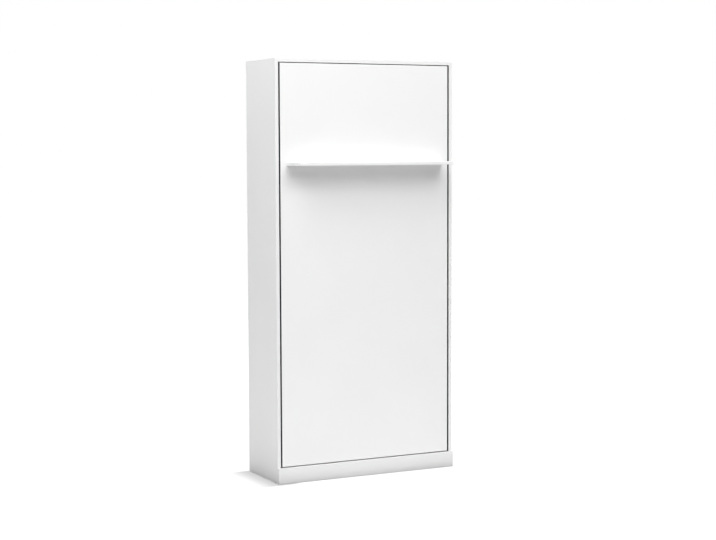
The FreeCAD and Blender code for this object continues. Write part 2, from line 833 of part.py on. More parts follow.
def make_mount_plate(side):
    """Steel plate on the side panel that carries the pivot pin and the strut's anchor stud."""
    body = new_body(side + "_mount_plate")
    start, end = span(side, "plate_near", "inner_half")
    add(body, "YZ", start, end, Rectangle("plate_front", "plate_rear", "plate_under", "plate_over"))
    round_edges(body, "plate_round", along("X"))
    cut(body, "YZ", start, end, Circle("pivot_y", "pivot_z", "pin_diameter"),
        Circle("pivot_y", "anchor_z", "stud_diameter"))
    screws = plate_screw_rows()
    cut(body, "YZ", start, end, *[Circle(y, z, "plate_screw_shank") for y, z in screws])
    sink = "(plate_screw_head - plate_screw_shank) / 2"
    start, end = span(side, "plate_near", "plate_near + " + sink)
    cut(body, "YZ", start, end, *[Circle(y, z, "plate_screw_head") for y, z in screws],
        taper=-45, from_start=side == "right")


def make_plate_screws():
    """Countersunk screws of both mount plates."""
    body = new_body("mount_plate_screws")
    sink = "(plate_screw_head - plate_screw_shank) / 2"
    for side in SIDES:
        start, end = span(side, "plate_near + " + sink, "inner_half + plate_screw_bite")
        add(body, "YZ", start, end, *[Circle(y, z, "plate_screw_shank") for y, z in plate_screw_rows()])
        start, end = span(side, "plate_near", "plate_near + " + sink)
        size = "plate_screw_head" if side == "right" else "plate_screw_shank"
        taper = -45 if side == "right" else 45
        add(body, "YZ", start, end, *[Circle(y, z, size) for y, z in plate_screw_rows()], taper=taper)


def stepped(sign, *steps):
    """Outline of a turned piece along X: steps are (from, to, diameter), in order outwards."""
    corners = []
    for start, end, diameter in steps:
        corners.append(("%s * (%s)" % (sign, start), "(%s) / 2" % diameter))
        corners.append(("%s * (%s)" % (sign, end), "(%s) / 2" % diameter))
    first = ("%s * (%s)" % (sign, steps[0][0]), "0")
    last = ("%s * (%s)" % (sign, steps[-1][1]), "0")
    return Outline(first, *corners, last)


def ring(sign, start, end, bore, outer):
    """Outline of a turned ring along X."""
    low = "(%s) / 2" % bore
    high = "(%s) / 2" % outer
    near = "%s * (%s)" % (sign, start)
    far = "%s * (%s)" % (sign, end)
    return Outline((near, low), (far, low), (far, high), (near, high))


def make_pivot_pin(side):
    """Pivot pin, riveted in the mount plate, with a collar that keeps the arm off the plate."""
    body = new_body(side + "_pivot_pin")
    turn(body, stepped(SIDES[side], ("pin_end", "bush_face + soft_gap", "pin_diameter"),
                       ("bush_face + soft_gap", "plate_near", "pin_collar"),
                       ("plate_near", "inner_half", "pin_diameter")))
    place(body, "0", "pivot_y", "pivot_z")


def make_rings(label, deep, up, start, end, bore, outer):
    """A pair of rings, left and right, round one axis."""
    body = new_body(label)
    turn(body, ring("1", start, end, bore, outer))
    mirror(body, [body.Tip])
    place(body, "0", deep, up)


def make_bushes():
    """Flanged bushes in the pivot arms, a running fit on the pins."""
    body = new_body("pivot_bushes")
    bore = "(pin_diameter / 2 + pin_play)"
    turn(body, Outline(
        ("arm_near", bore), ("bush_face", bore), ("bush_face", "bush_flange / 2"),
        ("arm_far", "bush_flange / 2"), ("arm_far", "bush_outer / 2"), ("arm_near", "bush_outer / 2")))
    mirror(body, [body.Tip])
    place(body, "0", "pivot_y", "pivot_z")


def make_cylinder_studs():
    """Anchor studs of the gas struts, riveted in the mount plates."""
    body = new_body("cylinder_studs")
    tip = "eye_near - stud_clip_thick - stud_tail"
    turn(body, stepped("1", (tip, "eye_far + side_play", "stud_diameter"),
                       ("eye_far + side_play", "plate_near", "stud_collar"),
                       ("plate_near", "inner_half", "stud_diameter")))
    mirror(body, [body.Tip])
    place(body, "0", "pivot_y", "anchor_z")


def make_rod_studs():
    """Studs on the pivot arms that carry the rod eyes."""
    body = new_body("rod_studs")
    turn(body, stepped("1", ("arm_near", "arm_far", "stud_diameter"),
                       ("arm_far", "eye_near - side_play", "stud_collar"),
                       ("eye_near - side_play", "eye_far + stud_clip_thick + stud_tail", "stud_diameter")))
    mirror(body, [body.Tip])
    place(body, "0", "rod_stud_y", "rod_stud_z")


def make_stops():
    """Blocks on the side panels with rubber pads that meet the back of the front panel."""
    blocks = new_body("stop_blocks")
    pads = new_body("stop_pads")
    for side in SIDES:
        for low in stop_heights():
            start, end = span(side, "stop_near", "inner_half")
            add(blocks, "YZ", start, end, Rectangle("stop_front", "stop_rear", low, low + " + stop_tall"))
            middle = "-stop_middle" if side == "left" else "stop_middle"
            pad = Circle(middle, low + " + stop_tall / 2", "stop_pad_diameter")
            add(pads, "XZ", "stop_front - stop_pad_thick", "stop_front", pad)
        for deep, size in (("inner_half", "screw_shank"), ("stop_near + screw_head_tall", "screw_head")):
            start, end = span(side, "stop_near", deep)
            cut(blocks, "YZ", start, end, *[Circle(y, z, size) for y, z in stop_screw_rows()],
                from_start=side == "right")
    round_edges(blocks, "stop_round", rear_upright)


def make_front_panel():
    """Front panel of the bed: the cabinet's door and the bed's floor."""
    body = new_body("front_panel")
    add(body, "XZ", "front", "door_back", Rectangle("-door_half", "door_half", "door_low", "door_high"))
    spots = [(across, "shelf_middle") for across in shelf_screw_places()]
    cut(body, "XZ", "front", "door_back", *[Circle(x, z, "shelf_screw") for x, z in spots])
    sink = "(shelf_screw_head - shelf_screw) / 2"
    cut(body, "XZ", "door_back - " + sink, "door_back",
        *[Circle(x, z, "shelf_screw_head") for x, z in spots], taper=-45, from_start=True)
    screws = [Circle(x, z, "screw_shank") for x, z in tab_screw_places()]
    cut(body, "XZ", "door_back - screw_bite", "door_back", *screws, from_start=True)
    round_edges(body, "edge_round", flat_on("Y", True))


def tab_lows():
    """List the lower edges of the panel tabs."""
    return ["tab_low + %d * tab_pitch - tab_tall / 2" % index for index in range(COUNTS["tab_count"])]


def tab_screw_places():
    """List the X and Z places of the screws through the panel tabs."""
    return [(sign + "tab_screw_half", low + " + tab_tall / 2") for sign in ("", "-") for low in tab_lows()]


def make_shelf():
    """Shelf on the front panel, which is also the pull and the foot of the open bed."""
    body = new_body("shelf")
    plan = Rectangle("-shelf_half", "shelf_half", "shelf_front", "front")
    add(body, "XY", "shelf_under", "shelf_top", plan)
    screws = [Circle(x, "shelf_middle", "shelf_screw") for x in shelf_screw_places()]
    cut(body, "XZ", "front - shelf_screw_bite", "front", *screws, from_start=True)
    round_edges(body, "edge_round", flat_on("Y", True))


def make_shelf_screws():
    """Countersunk screws through the front panel into the shelf's rear edge."""
    body = new_body("shelf_screws")
    sink = "(shelf_screw_head - shelf_screw) / 2"
    spots = [(across, "shelf_middle") for across in shelf_screw_places()]
    add(body, "XZ", "front - shelf_screw_bite", "door_back - " + sink,
        *[Circle(x, z, "shelf_screw") for x, z in spots])
    add(body, "XZ", "door_back - " + sink, "door_back",
        *[Circle(x, z, "shelf_screw_head") for x, z in spots], taper=-45)


def make_side_rail(side):
    """Steel tube down the side of the bed frame, open at its ends."""
    body = new_body(side + "_side_rail")
    near, far = span(side, "frame_inner", "frame_half")
    add(body, "XY", "frame_low", "frame_high", Rectangle(near, far, "door_back", "frame_back"))
    near, far = span(side, "frame_inner + frame_wall", "frame_half - frame_wall")
    cut(body, "XY", "frame_low", "frame_high",
        Rectangle(near, far, "door_back + frame_wall", "frame_back - frame_wall"))
    start, end = span(side, "frame_inner", "frame_half")
    cut(body, "YZ", start, end, *[Circle("bolt_y", z, "arm_bolt") for z in arm_bolt_heights()])


def make_cross_tubes(label, heights, tall, deep):
    """Steel tubes across the bed frame between the side rails."""
    body = new_body(label)
    for low in heights:
        high = "(%s) + %s" % (low, tall)
        rear = "door_back + " + deep
        add(body, "YZ", "-frame_inner", "frame_inner", Rectangle("door_back", rear, low, high))
        hollow = Rectangle("door_back + frame_wall", rear + " - frame_wall",
                           low + " + frame_wall", high + " - frame_wall")
        cut(body, "YZ", "-frame_inner", "frame_inner", hollow)


def make_rail_caps():
    """Plastic caps in the open ends of the side rails."""
    body = new_body("rail_end_caps")
    for side in SIDES:
        near, far = span(side, "frame_inner", "frame_half")
        plate = Rectangle(near, far, "door_back", "frame_back")
        near, far = span(side, "frame_inner + frame_wall", "frame_half - frame_wall")
        plug = Rectangle(near, far, "door_back + frame_wall", "frame_back - frame_wall")
        add(body, "XY", "frame_low - cap_plate", "frame_low", plate)
        add(body, "XY", "frame_low", "frame_low + cap_plug", plug)
        add(body, "XY", "frame_high", "frame_high + cap_plate", plate)
        add(body, "XY", "frame_high - cap_plug", "frame_high", plug)


def make_panel_tabs():
    """Angle tabs on the side rails that hold the front panel, and their screws."""
    tabs = new_body("panel_tabs")
    for side in SIDES:
        sign = SIDES[side]
        wall = sign + " * frame_inner"
        tip = sign + " * (frame_inner - tab_leg)"
        skin = sign + " * (frame_inner - tab_thick)"
        section = Outline(
            (wall, "door_back"), (tip, "door_back"), (tip, "door_back + tab_thick"),
            (skin, "door_back + tab_thick"), (skin, "door_back + tab_leg"), (wall, "door_back + tab_leg"))
        for low in tab_lows():
            add(tabs, "XY", low, low + " + tab_tall", section)
    face = "door_back + tab_thick"
    spots = tab_screw_places()
    cut(tabs, "XZ", "door_back", face, *[Circle(x, z, "screw_shank") for x, z in spots])
    screws = new_body("panel_screws")
    add(screws, "XZ", "door_back - screw_bite", face, *[Circle(x, z, "screw_shank") for x, z in spots])
    add(screws, "XZ", face, face + " + screw_head_tall", *[Circle(x, z, "screw_head") for x, z in spots])


class Bow:
    """Plan of a sprung slat: two arcs round one far centre, closed by straight ends."""

    def draw(self, sketch):
        """Add the arcs and ends and tie them to the slat's length, thickness and crown."""
        half = values["mattress_wide"] / 2
        crown = values["slat_crown"]
        bow = (half * half + crown * crown) / (2 * crown)
        lean = math.asin(half / bow)
        arcs = []
        for level in (0, values["slat_thick"]):
            centre = FreeCAD.Vector(0, level + crown - bow, 0)
            circle = Part.Circle(centre, FreeCAD.Vector(0, 0, 1), bow)
            arc = Part.ArcOfCircle(circle, math.pi / 2 - lean, math.pi / 2 + lean)
            arcs.append(sketch.addGeometry(arc, False))
        inner, outer = arcs
        ends = []
        for point in (1, 2):
            line = Part.LineSegment(sketch.getPoint(inner, point), sketch.getPoint(outer, point))
            ends.append(sketch.addGeometry(line, False))
            sketch.addConstraint(Sketcher.Constraint("Coincident", ends[-1], 1, inner, point))
            sketch.addConstraint(Sketcher.Constraint("Coincident", ends[-1], 2, outer, point))
            sketch.addConstraint(Sketcher.Constraint("Vertical", ends[-1]))
        sketch.addConstraint(Sketcher.Constraint("PointOnObject", inner, 3, -2))
        sketch.addConstraint(Sketcher.Constraint("PointOnObject", outer, 3, -2))
        hold(sketch, inner, 1, "slat_half", "slat_seat")
        sketch.addConstraint(Sketcher.Constraint("Symmetric", inner, 1, inner, 2, -2))
        for arc in arcs:
            size = sketch.Geometry[arc].Radius
            number = sketch.addConstraint(Sketcher.Constraint("Radius", arc, size))
            sketch.setExpression("Constraints[%d]" % number, bound("slat_bow"))
        lift = sketch.getPoint(outer, 1).y
        number = sketch.addConstraint(Sketcher.Constraint("DistanceY", -1, 1, outer, 1, lift))
        sketch.setExpression("Constraints[%d]" % number, bound("slat_seat + slat_thick"))


def make_slats():
    """Sprung slats and the holders that carry their ends on the side rails."""
    slats = new_body("slats")
    first = add(slats, "XY", "slat_low", "slat_low + slat_tall", Bow())
    repeat(slats, [first], "N_Axis", "slat_high - slat_low", "slat_count")
    holders = new_body("slat_holders")
    for side in SIDES:
        near, far = span(side, "holder_inner", "holder_outer")
        block = add(holders, "XY", "slat_low - holder_wall", "slat_low + slat_tall + holder_wall",
                    Rectangle(near, far, "frame_back", "holder_top"))
        near, far = span(side, "holder_inner", "slat_half + holder_room")
        pocket = cut(holders, "XY", "slat_low", "slat_low + slat_tall",
                     Rectangle(near, far, "slat_seat", "holder_top - holder_floor"))
        repeat(holders, [block, pocket], "N_Axis", "slat_high - slat_low", "slat_count")


def make_retainer(label, face, outward):
    """Bent steel angle behind the frame that the end of the mattress stands against."""
    body = new_body(label)
    inner = "%s %s retainer_thick" % (face, outward)
    edge = "%s %s retainer_foot" % (face, outward)
    section = Outline(
        ("frame_back", face), ("frame_back + retainer_reach", face), ("frame_back + retainer_reach", inner),
        ("frame_back + retainer_thick", inner), ("frame_back + retainer_thick", edge), ("frame_back", edge))
    add(body, "YZ", "-retainer_half", "retainer_half", section)
    round_edges(body, "arm_round", rear_upright)


def make_mattress():
    """Mattress as one rounded solid that stands in the bed frame."""
    body = new_body("mattress")
    plan = Rectangle("-mattress_wide / 2", "mattress_wide / 2", "mattress_front", "mattress_back")
    add(body, "XY", "mattress_low", "mattress_high", plan)
    round_edges(body, "mattress_round", lambda edge, shape: True)


def make_straps():
    """Straps over the mattress, down its sides to the side rails, and their buckles."""
    straps = new_body("mattress_straps")
    buckles = new_body("strap_buckles")
    section = Outline(
        ("strap_inner", "frame_back"), ("strap_outer", "frame_back"), ("strap_outer", "strap_over"),
        ("-strap_outer", "strap_over"), ("-strap_outer", "frame_back"), ("-strap_inner", "frame_back"),
        ("-strap_inner", "strap_under"), ("strap_inner", "strap_under"))
    for low in ("strap_low", "strap_high"):
        add(straps, "XY", low, low + " + strap_wide", section)
        middle = low + " + strap_wide / 2"
        block = Rectangle("-buckle_wide / 2", "buckle_wide / 2", middle + " - buckle_tall / 2",
                          middle + " + buckle_tall / 2")
        add(buckles, "XZ", "strap_over", "strap_over + buckle_thick", block)
    round_edges(straps, "mattress_round + soft_gap", strap_inside)
    round_edges(straps, "mattress_round + soft_gap + strap_thick", rear_upright)
    round_edges(buckles, "buckle_round", along("Y"))
    for low in ("strap_low", "strap_high"):
        for sign in ("", "-"):
            middle = sign + "(buckle_wide / 2 - 2 * buckle_slot)"
            slot = Rectangle(middle + " - buckle_slot / 2", middle + " + buckle_slot / 2", low,
                             low + " + strap_wide")
            face = "strap_over + buckle_thick"
            cut(buckles, "XZ", "strap_over + strap_thick", face, slot, from_start=True)


def strap_inside(edge, shape):
    """Pick the inner bends of the straps, at the last depth but one."""
    depths = sorted({round(corner.Point.y, 6) for corner in shape.Vertexes})
    return upright_at(edge, depths[-2])


def arm_bolt_heights():
    """List the heights of the bolts of one pivot arm."""
    return ["bolt_low + %d * arm_bolt_step" % index for index in range(3)]


def make_pivot_arm(side):
    """Steel plate bolted to the side rail, back to the pivot and down to the rod stud."""
    body = new_body(side + "_pivot_arm")
    start, end = span(side, "arm_near", "arm_far")
    rail_front = "door_back + arm_inset"
    rail_rear = "frame_back - arm_inset"
    shape = Outline(
        (rail_front, "frame_low + arm_foot"), (rail_front, "frame_low + arm_top"),
        (rail_rear, "frame_low + arm_top"), ("pivot_y + arm_boss / 2", "pivot_z + arm_boss"),
        ("pivot_y + arm_boss", "pivot_z"), ("rod_stud_y + arm_toe", "rod_stud_z + arm_toe / 2"),
        ("rod_stud_y + arm_toe / 2", "rod_stud_z - arm_toe"),
        ("rod_stud_y - arm_toe", "rod_stud_z - arm_toe"))
    add(body, "YZ", start, end, shape)
    round_edges(body, "arm_round", along("X"))
    holes = [Circle("bolt_y", height, "arm_bolt") for height in arm_bolt_heights()]
    holes.append(Circle("pivot_y", "pivot_z", "bush_outer"))
    holes.append(Circle("rod_stud_y", "rod_stud_z", "stud_diameter"))
    cut(body, "YZ", start, end, *holes)


def make_arm_bolts():
    """Bolts through the pivot arms and side rails, with their nuts."""
    body = new_body("arm_bolts")
    for side in SIDES:
        heights = arm_bolt_heights()
        nut_far = "frame_inner - arm_bolt_nut_tall"
        start, end = span(side, nut_far + " - arm_bolt_tail", "arm_far")
        add(body, "YZ", start, end, *[Circle("bolt_y", z, "arm_bolt") for z in heights])
        for near, far in (("arm_far", "arm_far + arm_bolt_head_tall"), (nut_far, "frame_inner")):
            start, end = span(side, near, far)
            add(body, "YZ", start, end, *[hexagon("bolt_y", z, "arm_bolt_head") for z in heights])


def hexagon(across, up, width):
    """A six-sided outline of a width across flats, standing on a flat."""
    reach = "(%s) / 2 / cos(30)" % width
    corners = []
    for index in range(6):
        turned = 60 * index
        side = across + " + " + reach + " * cos(%d)" % turned
        rise = up + " + " + reach + " * sin(%d)" % turned
        corners.append((side, rise))
    return Outline(*corners)


def make_strut(side):
    """Gas strut: cylinder with its eye on the cabinet, rod with piston and eye on the bed."""
    middle = "-strut_middle" if side == "left" else "strut_middle"
    at_anchor = (middle, "pivot_y", "anchor_z", "180 + strut_lean")
    at_arm = (middle, "rod_stud_y", "rod_stud_z", "strut_lean")
    tube = new_body(side + "_strut_cylinder")
    end = "cylinder_offset + cylinder_long"
    bore = "cylinder_diameter - 2 * cylinder_wall"
    add(tube, "XY", "cylinder_offset", end, Circle("0", "0", "cylinder_diameter"))
    cut(tube, "XY", "cylinder_offset + cylinder_base", end, Circle("0", "0", bore))
    add(tube, "XY", end + " - gland_long", end, Circle("0", "0", "cylinder_diameter"))
    cut(tube, "XY", end + " - gland_long", end, Circle("0", "0", "rod_diameter + 2 * gland_play"))
    place_turned(tube, *at_anchor)
    make_eye(side + "_cylinder_eye", "cylinder_offset", at_anchor)
    rod = new_body(side + "_strut_rod")
    tip = "rod_offset + rod_long"
    add(rod, "XY", "rod_offset", tip, Circle("0", "0", "rod_diameter"))
    add(rod, "XY", tip + " - piston_long", tip, Circle("0", "0", bore + " - 2 * piston_play"))
    place_turned(rod, *at_arm)
    make_eye(side + "_rod_eye", "rod_offset", at_arm)


def make_eye(label, reach, where):
    """Eye at the end of a strut: a ring round the stud and a neck that meets the tube or rod."""
    body = new_body(label)
    ring_face = ("-eye_wide / 2", "eye_wide / 2")
    add(body, "YZ", *ring_face, Circle("0", "0", "eye_diameter"))
    add(body, "XY", "0", reach, Circle("0", "0", "eye_neck"))
    cut(body, "YZ", *ring_face, Circle("0", "0", "stud_diameter + 2 * stud_play"))
    place_turned(body, *where)


def build():
    """Make every sub-part."""
    for side in SIDES:
        make_side_panel(side)
    make_cross_panel("top_panel", "top_under", "back")
    make_cross_panel("base_panel", "base_lift", "back_panel_front")
    walls = wall_holes()
    screws = back_screw_places()
    upper_screws = [row for row in screws if row[1] == "back_screw_high"]
    lower_screws = [row for row in screws if row[1] == "back_screw_low"]
    side_screws = [row for row in screws if row[1] not in ("back_screw_high", "back_screw_low")]
    half = len(side_screws) // 2
    make_rear_rail("upper_rear_rail", "upper_rail_low", "top_under", walls[:4], upper_screws)
    make_rear_rail("lower_rear_rail", "base_top", "lower_rail_high", walls[4:], lower_screws)
    make_back_panel("back_panel_lower", "base_lift", "joint_height - joint_web / 2",
                    lower_screws + side_screws[:half], walls[4:])
    make_back_panel("back_panel_upper", "joint_height + joint_web / 2", "top_under",
                    upper_screws + side_screws[half:], walls[:4])
    make_joint_strip()
    make_plinth()
    make_cabinet_screws()
    make_floor_glides()
    make_wall_washers()
    make_cam_housings()
    make_side_rods("cam_bolts", "bolt_diameter", "bolt_end", "inner_half + bolt_screw_deep", fitting_rows())
    make_side_rods("wood_dowels", "dowel_diameter", "inner_half - dowel_long + dowel_in_side",
                   "inner_half + dowel_in_side", dowel_rows())
    make_back_screws()
    for side in SIDES:
        make_mount_plate(side)
        make_pivot_pin(side)
        make_pivot_arm(side)
        make_side_rail(side)
        make_strut(side)
    make_plate_screws()
    clip_far = "arm_near - clip_gap"
    make_rings("pin_clips", "pivot_y", "pivot_z", clip_far + " - clip_thick", clip_far, "pin_diameter",
               "pin_diameter + 2 * clip_rim")
    make_bushes()
    make_cylinder_studs()
    make_rod_studs()
    stud_rim = "stud_diameter + 2 * stud_clip_rim"
    make_rings("anchor_clips", "pivot_y", "anchor_z", "eye_near - side_play - stud_clip_thick",
               "eye_near - side_play", "stud_diameter", stud_rim)
    make_rings("rod_clips", "rod_stud_y", "rod_stud_z", "eye_far + side_play",
               "eye_far + side_play + stud_clip_thick", "stud_diameter", stud_rim)
    make_arm_bolts()
    make_stops()
    make_front_panel()
    make_shelf()
    make_shelf_screws()
    make_cross_tubes("head_rail", ["frame_low"], "frame_rail_wide", "frame_rail_deep")
    make_cross_tubes("foot_rail", ["frame_high - frame_rail_wide"], "frame_rail_wide", "frame_rail_deep")
    shares = ("cross_rail_low_share", "cross_rail_mid_share", "cross_rail_high_share")
    lows = ["frame_low + frame_long * %s - cross_rail_tall / 2" % share for share in shares]
    make_cross_tubes("cross_rails", lows, "cross_rail_tall", "cross_rail_deep")
    make_rail_caps()
    make_panel_tabs()
    make_slats()
    make_retainer("head_retainer", "retainer_low_top", "-")
    make_retainer("foot_retainer", "retainer_high_under", "+")
    make_mattress()
    make_straps()


def check():
    """Stop if any object failed or any sub-part's shape is missing or broken."""
    for item in document.Objects:
        if "Invalid" in item.State or "Error" in item.State:
            raise RuntimeError(item.Label + " did not compute")
        if item.TypeId == "PartDesign::Pocket" and item.Shape.Volume >= item.BaseFeature.Shape.Volume:
            raise RuntimeError(item.Label + " took nothing away")
    for body in pieces:
        if body.Shape.isNull() or not body.Shape.isValid() or not body.Shape.Solids:
            raise RuntimeError(body.Label + " has no valid solid")


build()
document.recompute()
check()
os.makedirs("parts", exist_ok=True)
for piece in pieces:
    piece.Shape.exportStep("parts/%s.step" % piece.Label)
print(len(pieces), "sub-parts,", sum(len(piece.Shape.Solids) for piece in pieces), "solids")
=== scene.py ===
"""The looks of a vertical wall bed: finishes, boards, steel frame, slats, mattress, straps and studio.

Metres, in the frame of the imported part: +Z is up and the front of the closed bed faces -Y.
"""

import logging
import math
from dataclasses import dataclass
from enum import Enum
from typing import Iterable, Sequence

import bmesh
import bpy
from mathutils import Matrix, Vector


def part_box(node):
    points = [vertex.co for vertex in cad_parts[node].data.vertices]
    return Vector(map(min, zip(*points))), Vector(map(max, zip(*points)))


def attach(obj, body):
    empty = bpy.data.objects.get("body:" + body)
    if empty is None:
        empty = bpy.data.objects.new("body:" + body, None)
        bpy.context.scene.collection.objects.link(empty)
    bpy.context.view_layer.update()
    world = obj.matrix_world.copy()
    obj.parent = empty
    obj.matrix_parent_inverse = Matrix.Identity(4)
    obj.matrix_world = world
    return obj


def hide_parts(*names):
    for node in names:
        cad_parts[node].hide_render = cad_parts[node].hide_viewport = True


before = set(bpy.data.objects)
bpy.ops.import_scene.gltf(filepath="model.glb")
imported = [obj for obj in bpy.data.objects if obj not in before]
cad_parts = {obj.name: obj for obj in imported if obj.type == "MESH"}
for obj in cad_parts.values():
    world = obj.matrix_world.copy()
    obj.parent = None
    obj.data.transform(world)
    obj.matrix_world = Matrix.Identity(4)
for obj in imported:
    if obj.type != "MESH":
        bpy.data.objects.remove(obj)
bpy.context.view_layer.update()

MM = 0.001
# Corners nearer than this are one corner, and ends nearer than this touch.
MERGE = 0.002 * MM
TOUCH = 0.01 * MM
# Faces that meet at less than this angle are one flat face.
FLAT = math.radians(0.4)
# Where most values of a noise lie, and a narrower stretch that gives a pattern more contrast.
BROAD = (0.3, 0.7)
NARROW = (0.35, 0.65)
Colour = tuple[float, float, float]
Socket = bpy.types.NodeSocket
Shape = bmesh.types.BMesh
Material = bpy.types.Material
Mesh = bpy.types.Mesh
log = logging.getLogger("wall_bed")


class Body(str, Enum):
    """The bodies that move against each other."""

    CABINET = "cabinet"
    BED = "bed"
    LEFT_CYLINDER = "left_cylinder"
    RIGHT_CYLINDER = "right_cylinder"
    LEFT_ROD = "left_rod"
    RIGHT_ROD = "right_rod"


class Slot(str, Enum):
    """The record's material slots."""

    WHITE_BOARD = "white_board"
    WHITE_FRONT = "white_front"
    BACK_BOARD = "back_board"
    WHITE_PLASTIC = "white_plastic"
    GREY_PLASTIC = "grey_plastic"
    BLACK_PLASTIC = "black_plastic"
    ZINC_STEEL = "zinc_steel"
    ZINC_CAST = "zinc_cast"
    PLATE_STEEL = "plate_steel"
    FRAME_PAINT = "frame_paint"
    CYLINDER_PAINT = "cylinder_paint"
    EYE_STEEL = "eye_steel"
    ROD_CHROME = "rod_chrome"
    BRONZE = "bronze"
    RUBBER = "rubber"
    BEECH = "beech"
    MATTRESS_COVER = "mattress_cover"
    STRAP_WEB = "strap_web"


class Shader:
    """The node tree of one material, with a short call for each kind of node that the finishes use."""

    def __init__(self, name: str, colour: Colour, roughness: float, metallic: float) -> None:
        """Start a material with one plain surface.

        Args:
            name: The material's name.
            colour: Linear red, green and blue of the surface.
            roughness: Roughness of the surface.
            metallic: 1 for bare metal, 0 for anything else.
        """
        self.material = bpy.data.materials.new(name)
        self.material.use_nodes = True
        self.tree = self.material.node_tree
        self.surface = self.tree.nodes["Principled BSDF"]
        self.colour = colour
        self.set("Base Color", (*colour, 1.0))
        self.set("Roughness", roughness)
        self.set("Metallic", metallic)
        self.place = self.node("ShaderNodeTexCoord").outputs["Object"]
        self.normal: Socket | None = None

    def node(self, kind: str) -> bpy.types.ShaderNode:
        """Add a node of a kind."""
        return self.tree.nodes.new(kind)

    def set(self, socket: str, value: float | tuple) -> None:
        """Give one of the surface's sockets a constant."""
        self.surface.inputs[socket].default_value = value

    def feed(self, target: Socket, source: Socket | float) -> None:
        """Link a socket, or set it where the source is a number.

        Args:
            target: The socket that is fed.
            source: The socket or number that feeds it.
        """
        if isinstance(source, Socket):
            self.tree.links.new(source, target)
        else:
            target.default_value = source

    def maths(self, operation: str, *values: Socket | float) -> Socket:
        """Work on numbers.

        Args:
            operation: The name of the operation, such as MULTIPLY.
            values: One to three sockets or numbers.

        Returns:
            The result.
        """
        node = self.node("ShaderNodeMath")
        node.operation = operation
        for target, value in zip(node.inputs, values):
            self.feed(target, value)
        return node.outputs[0]

    def split(self) -> list[Socket]:
        """Give the place's x, y and z.

        Returns:
            The three sockets.
        """
        node = self.node("ShaderNodeSeparateXYZ")
        self.feed(node.inputs[0], self.place)
        return list(node.outputs)

    def stretched(self, scale: Colour) -> Socket:
        """Give the place with each axis scaled, which stretches a pattern along the smallest.

        Args:
            scale: The factor on each axis.

        Returns:
            The scaled place.
        """
        node = self.node("ShaderNodeMapping")
        self.feed(node.inputs["Vector"], self.place)
        node.inputs["Scale"].default_value = scale
        return node.outputs[0]

    def noise(self, where: Socket, scale: float, detail: float = 2.0) -> Socket:
        """Add a cloudy pattern from 0 to 1, with as many clouds per metre as the scale says.

        Args:
            where: The place.
            scale: Clouds per metre.
            detail: How fine the clouds get.

        Returns:
            The pattern.
        """
        node = self.node("ShaderNodeTexNoise")
        self.feed(node.inputs["Vector"], where)
        node.inputs["Scale"].default_value = scale
        node.inputs["Detail"].default_value = detail
        return node.outputs[0]

    def cells(self, where: Socket, scale: float) -> Socket:
        """Add a pattern of rounded cells, which gives the distance to each cell's middle.

        Args:
            where: The place.
            scale: Cells per metre.

        Returns:
            The pattern.
        """
        node = self.node("ShaderNodeTexVoronoi")
        self.feed(node.inputs["Vector"], where)
        node.inputs["Scale"].default_value = scale
        return node.outputs["Distance"]

    def ramp(self, value: Socket, start: float, end: float, first: float, last: float) -> Socket:
        """Map a range of values smoothly to another.

        Args:
            value: What is mapped.
            start: The value that gives first, and so does anything before it.
            end: The value that gives last, and so does anything past it.
            first: The result at start.
            last: The result at end.

        Returns:
            The mapped value.
        """
        node = self.node("ShaderNodeMapRange")
        node.interpolation_type = "SMOOTHSTEP"
        self.feed(node.inputs["Value"], value)
        for socket, number in zip(list(node.inputs)[1:5], (start, end, first, last)):
            socket.default_value = number
        return node.outputs["Result"]

    def between(self, share: Socket, first: Socket | Colour, second: Socket | Colour) -> Socket:
        """Mix two colours.

        Args:
            share: 0 for the first colour, 1 for the second.
            first: The first colour.
            second: The second colour.

        Returns:
            The mixed colour.
        """
        node = self.node("ShaderNodeMix")
        node.data_type = "RGBA"
        self.feed(node.inputs["Factor"], share)
        for target, colour in zip(node.inputs[6:8], (first, second)):
            self.feed(target, colour if isinstance(colour, Socket) else (*colour, 1.0))
        return node.outputs[2]

    def dimmed(self, colour: Socket | Colour, tone: Socket) -> Socket:
        """Multiply a colour by a tone.

        Args:
            colour: The colour.
            tone: What it is multiplied by.

        Returns:
            The new colour.
        """
        node = self.node("ShaderNodeVectorMath")
        node.operation = "SCALE"
        self.feed(node.inputs[0], colour)
        self.feed(node.inputs["Scale"], tone)
        return node.outputs[0]

    def paint(self, colour: Socket) -> None:
        """Let a pattern colour the surface."""
        self.feed(self.surface.inputs["Base Color"], colour)

    def emboss(self, height: Socket, depth: float) -> None:
        """Add a relief of a real depth in metres, over any earlier one.

        Args:
            height: The relief, from 0 to 1.
            depth: What 1 stands for, in metres.
        """
        node = self.node("ShaderNodeBump")
        node.inputs["Distance"].default_value = depth
        self.feed(node.inputs["Height"], height)
        if self.normal is not None:
            self.feed(node.inputs["Normal"], self.normal)
        self.normal = node.outputs[0]
        self.feed(self.surface.inputs["Normal"], self.normal)


@dataclass(frozen=True)
class Finish:
    """A finish's name, colour and gloss. The kinds of finish add their own pattern in dress."""

    name: str
    colour: Colour
    roughness: float
    metallic: float = 0.0

    def material(self) -> Material:
        """Make the finish's material.

        Returns:
            The material.
        """
        shader = Shader(self.name, self.colour, self.roughness, self.metallic)
        self.dress(shader)
        return shader.material

    def dress(self, shader: Shader) -> None:
        """Add the finish's pattern to its shader."""

    def vary_gloss(self, shader: Shader, pattern: Socket, smoother: float, rougher: float) -> None:
        """Let a noise swing the roughness about the finish's own.

        Args:
            shader: The finish's shader.
            pattern: The noise.
            smoother: How far the roughness falls.
            rougher: How far it rises.
        """
        rough = shader.ramp(pattern, *BROAD, self.roughness - smoother, self.roughness + rougher)
        shader.feed(shader.surface.inputs["Roughness"], rough)


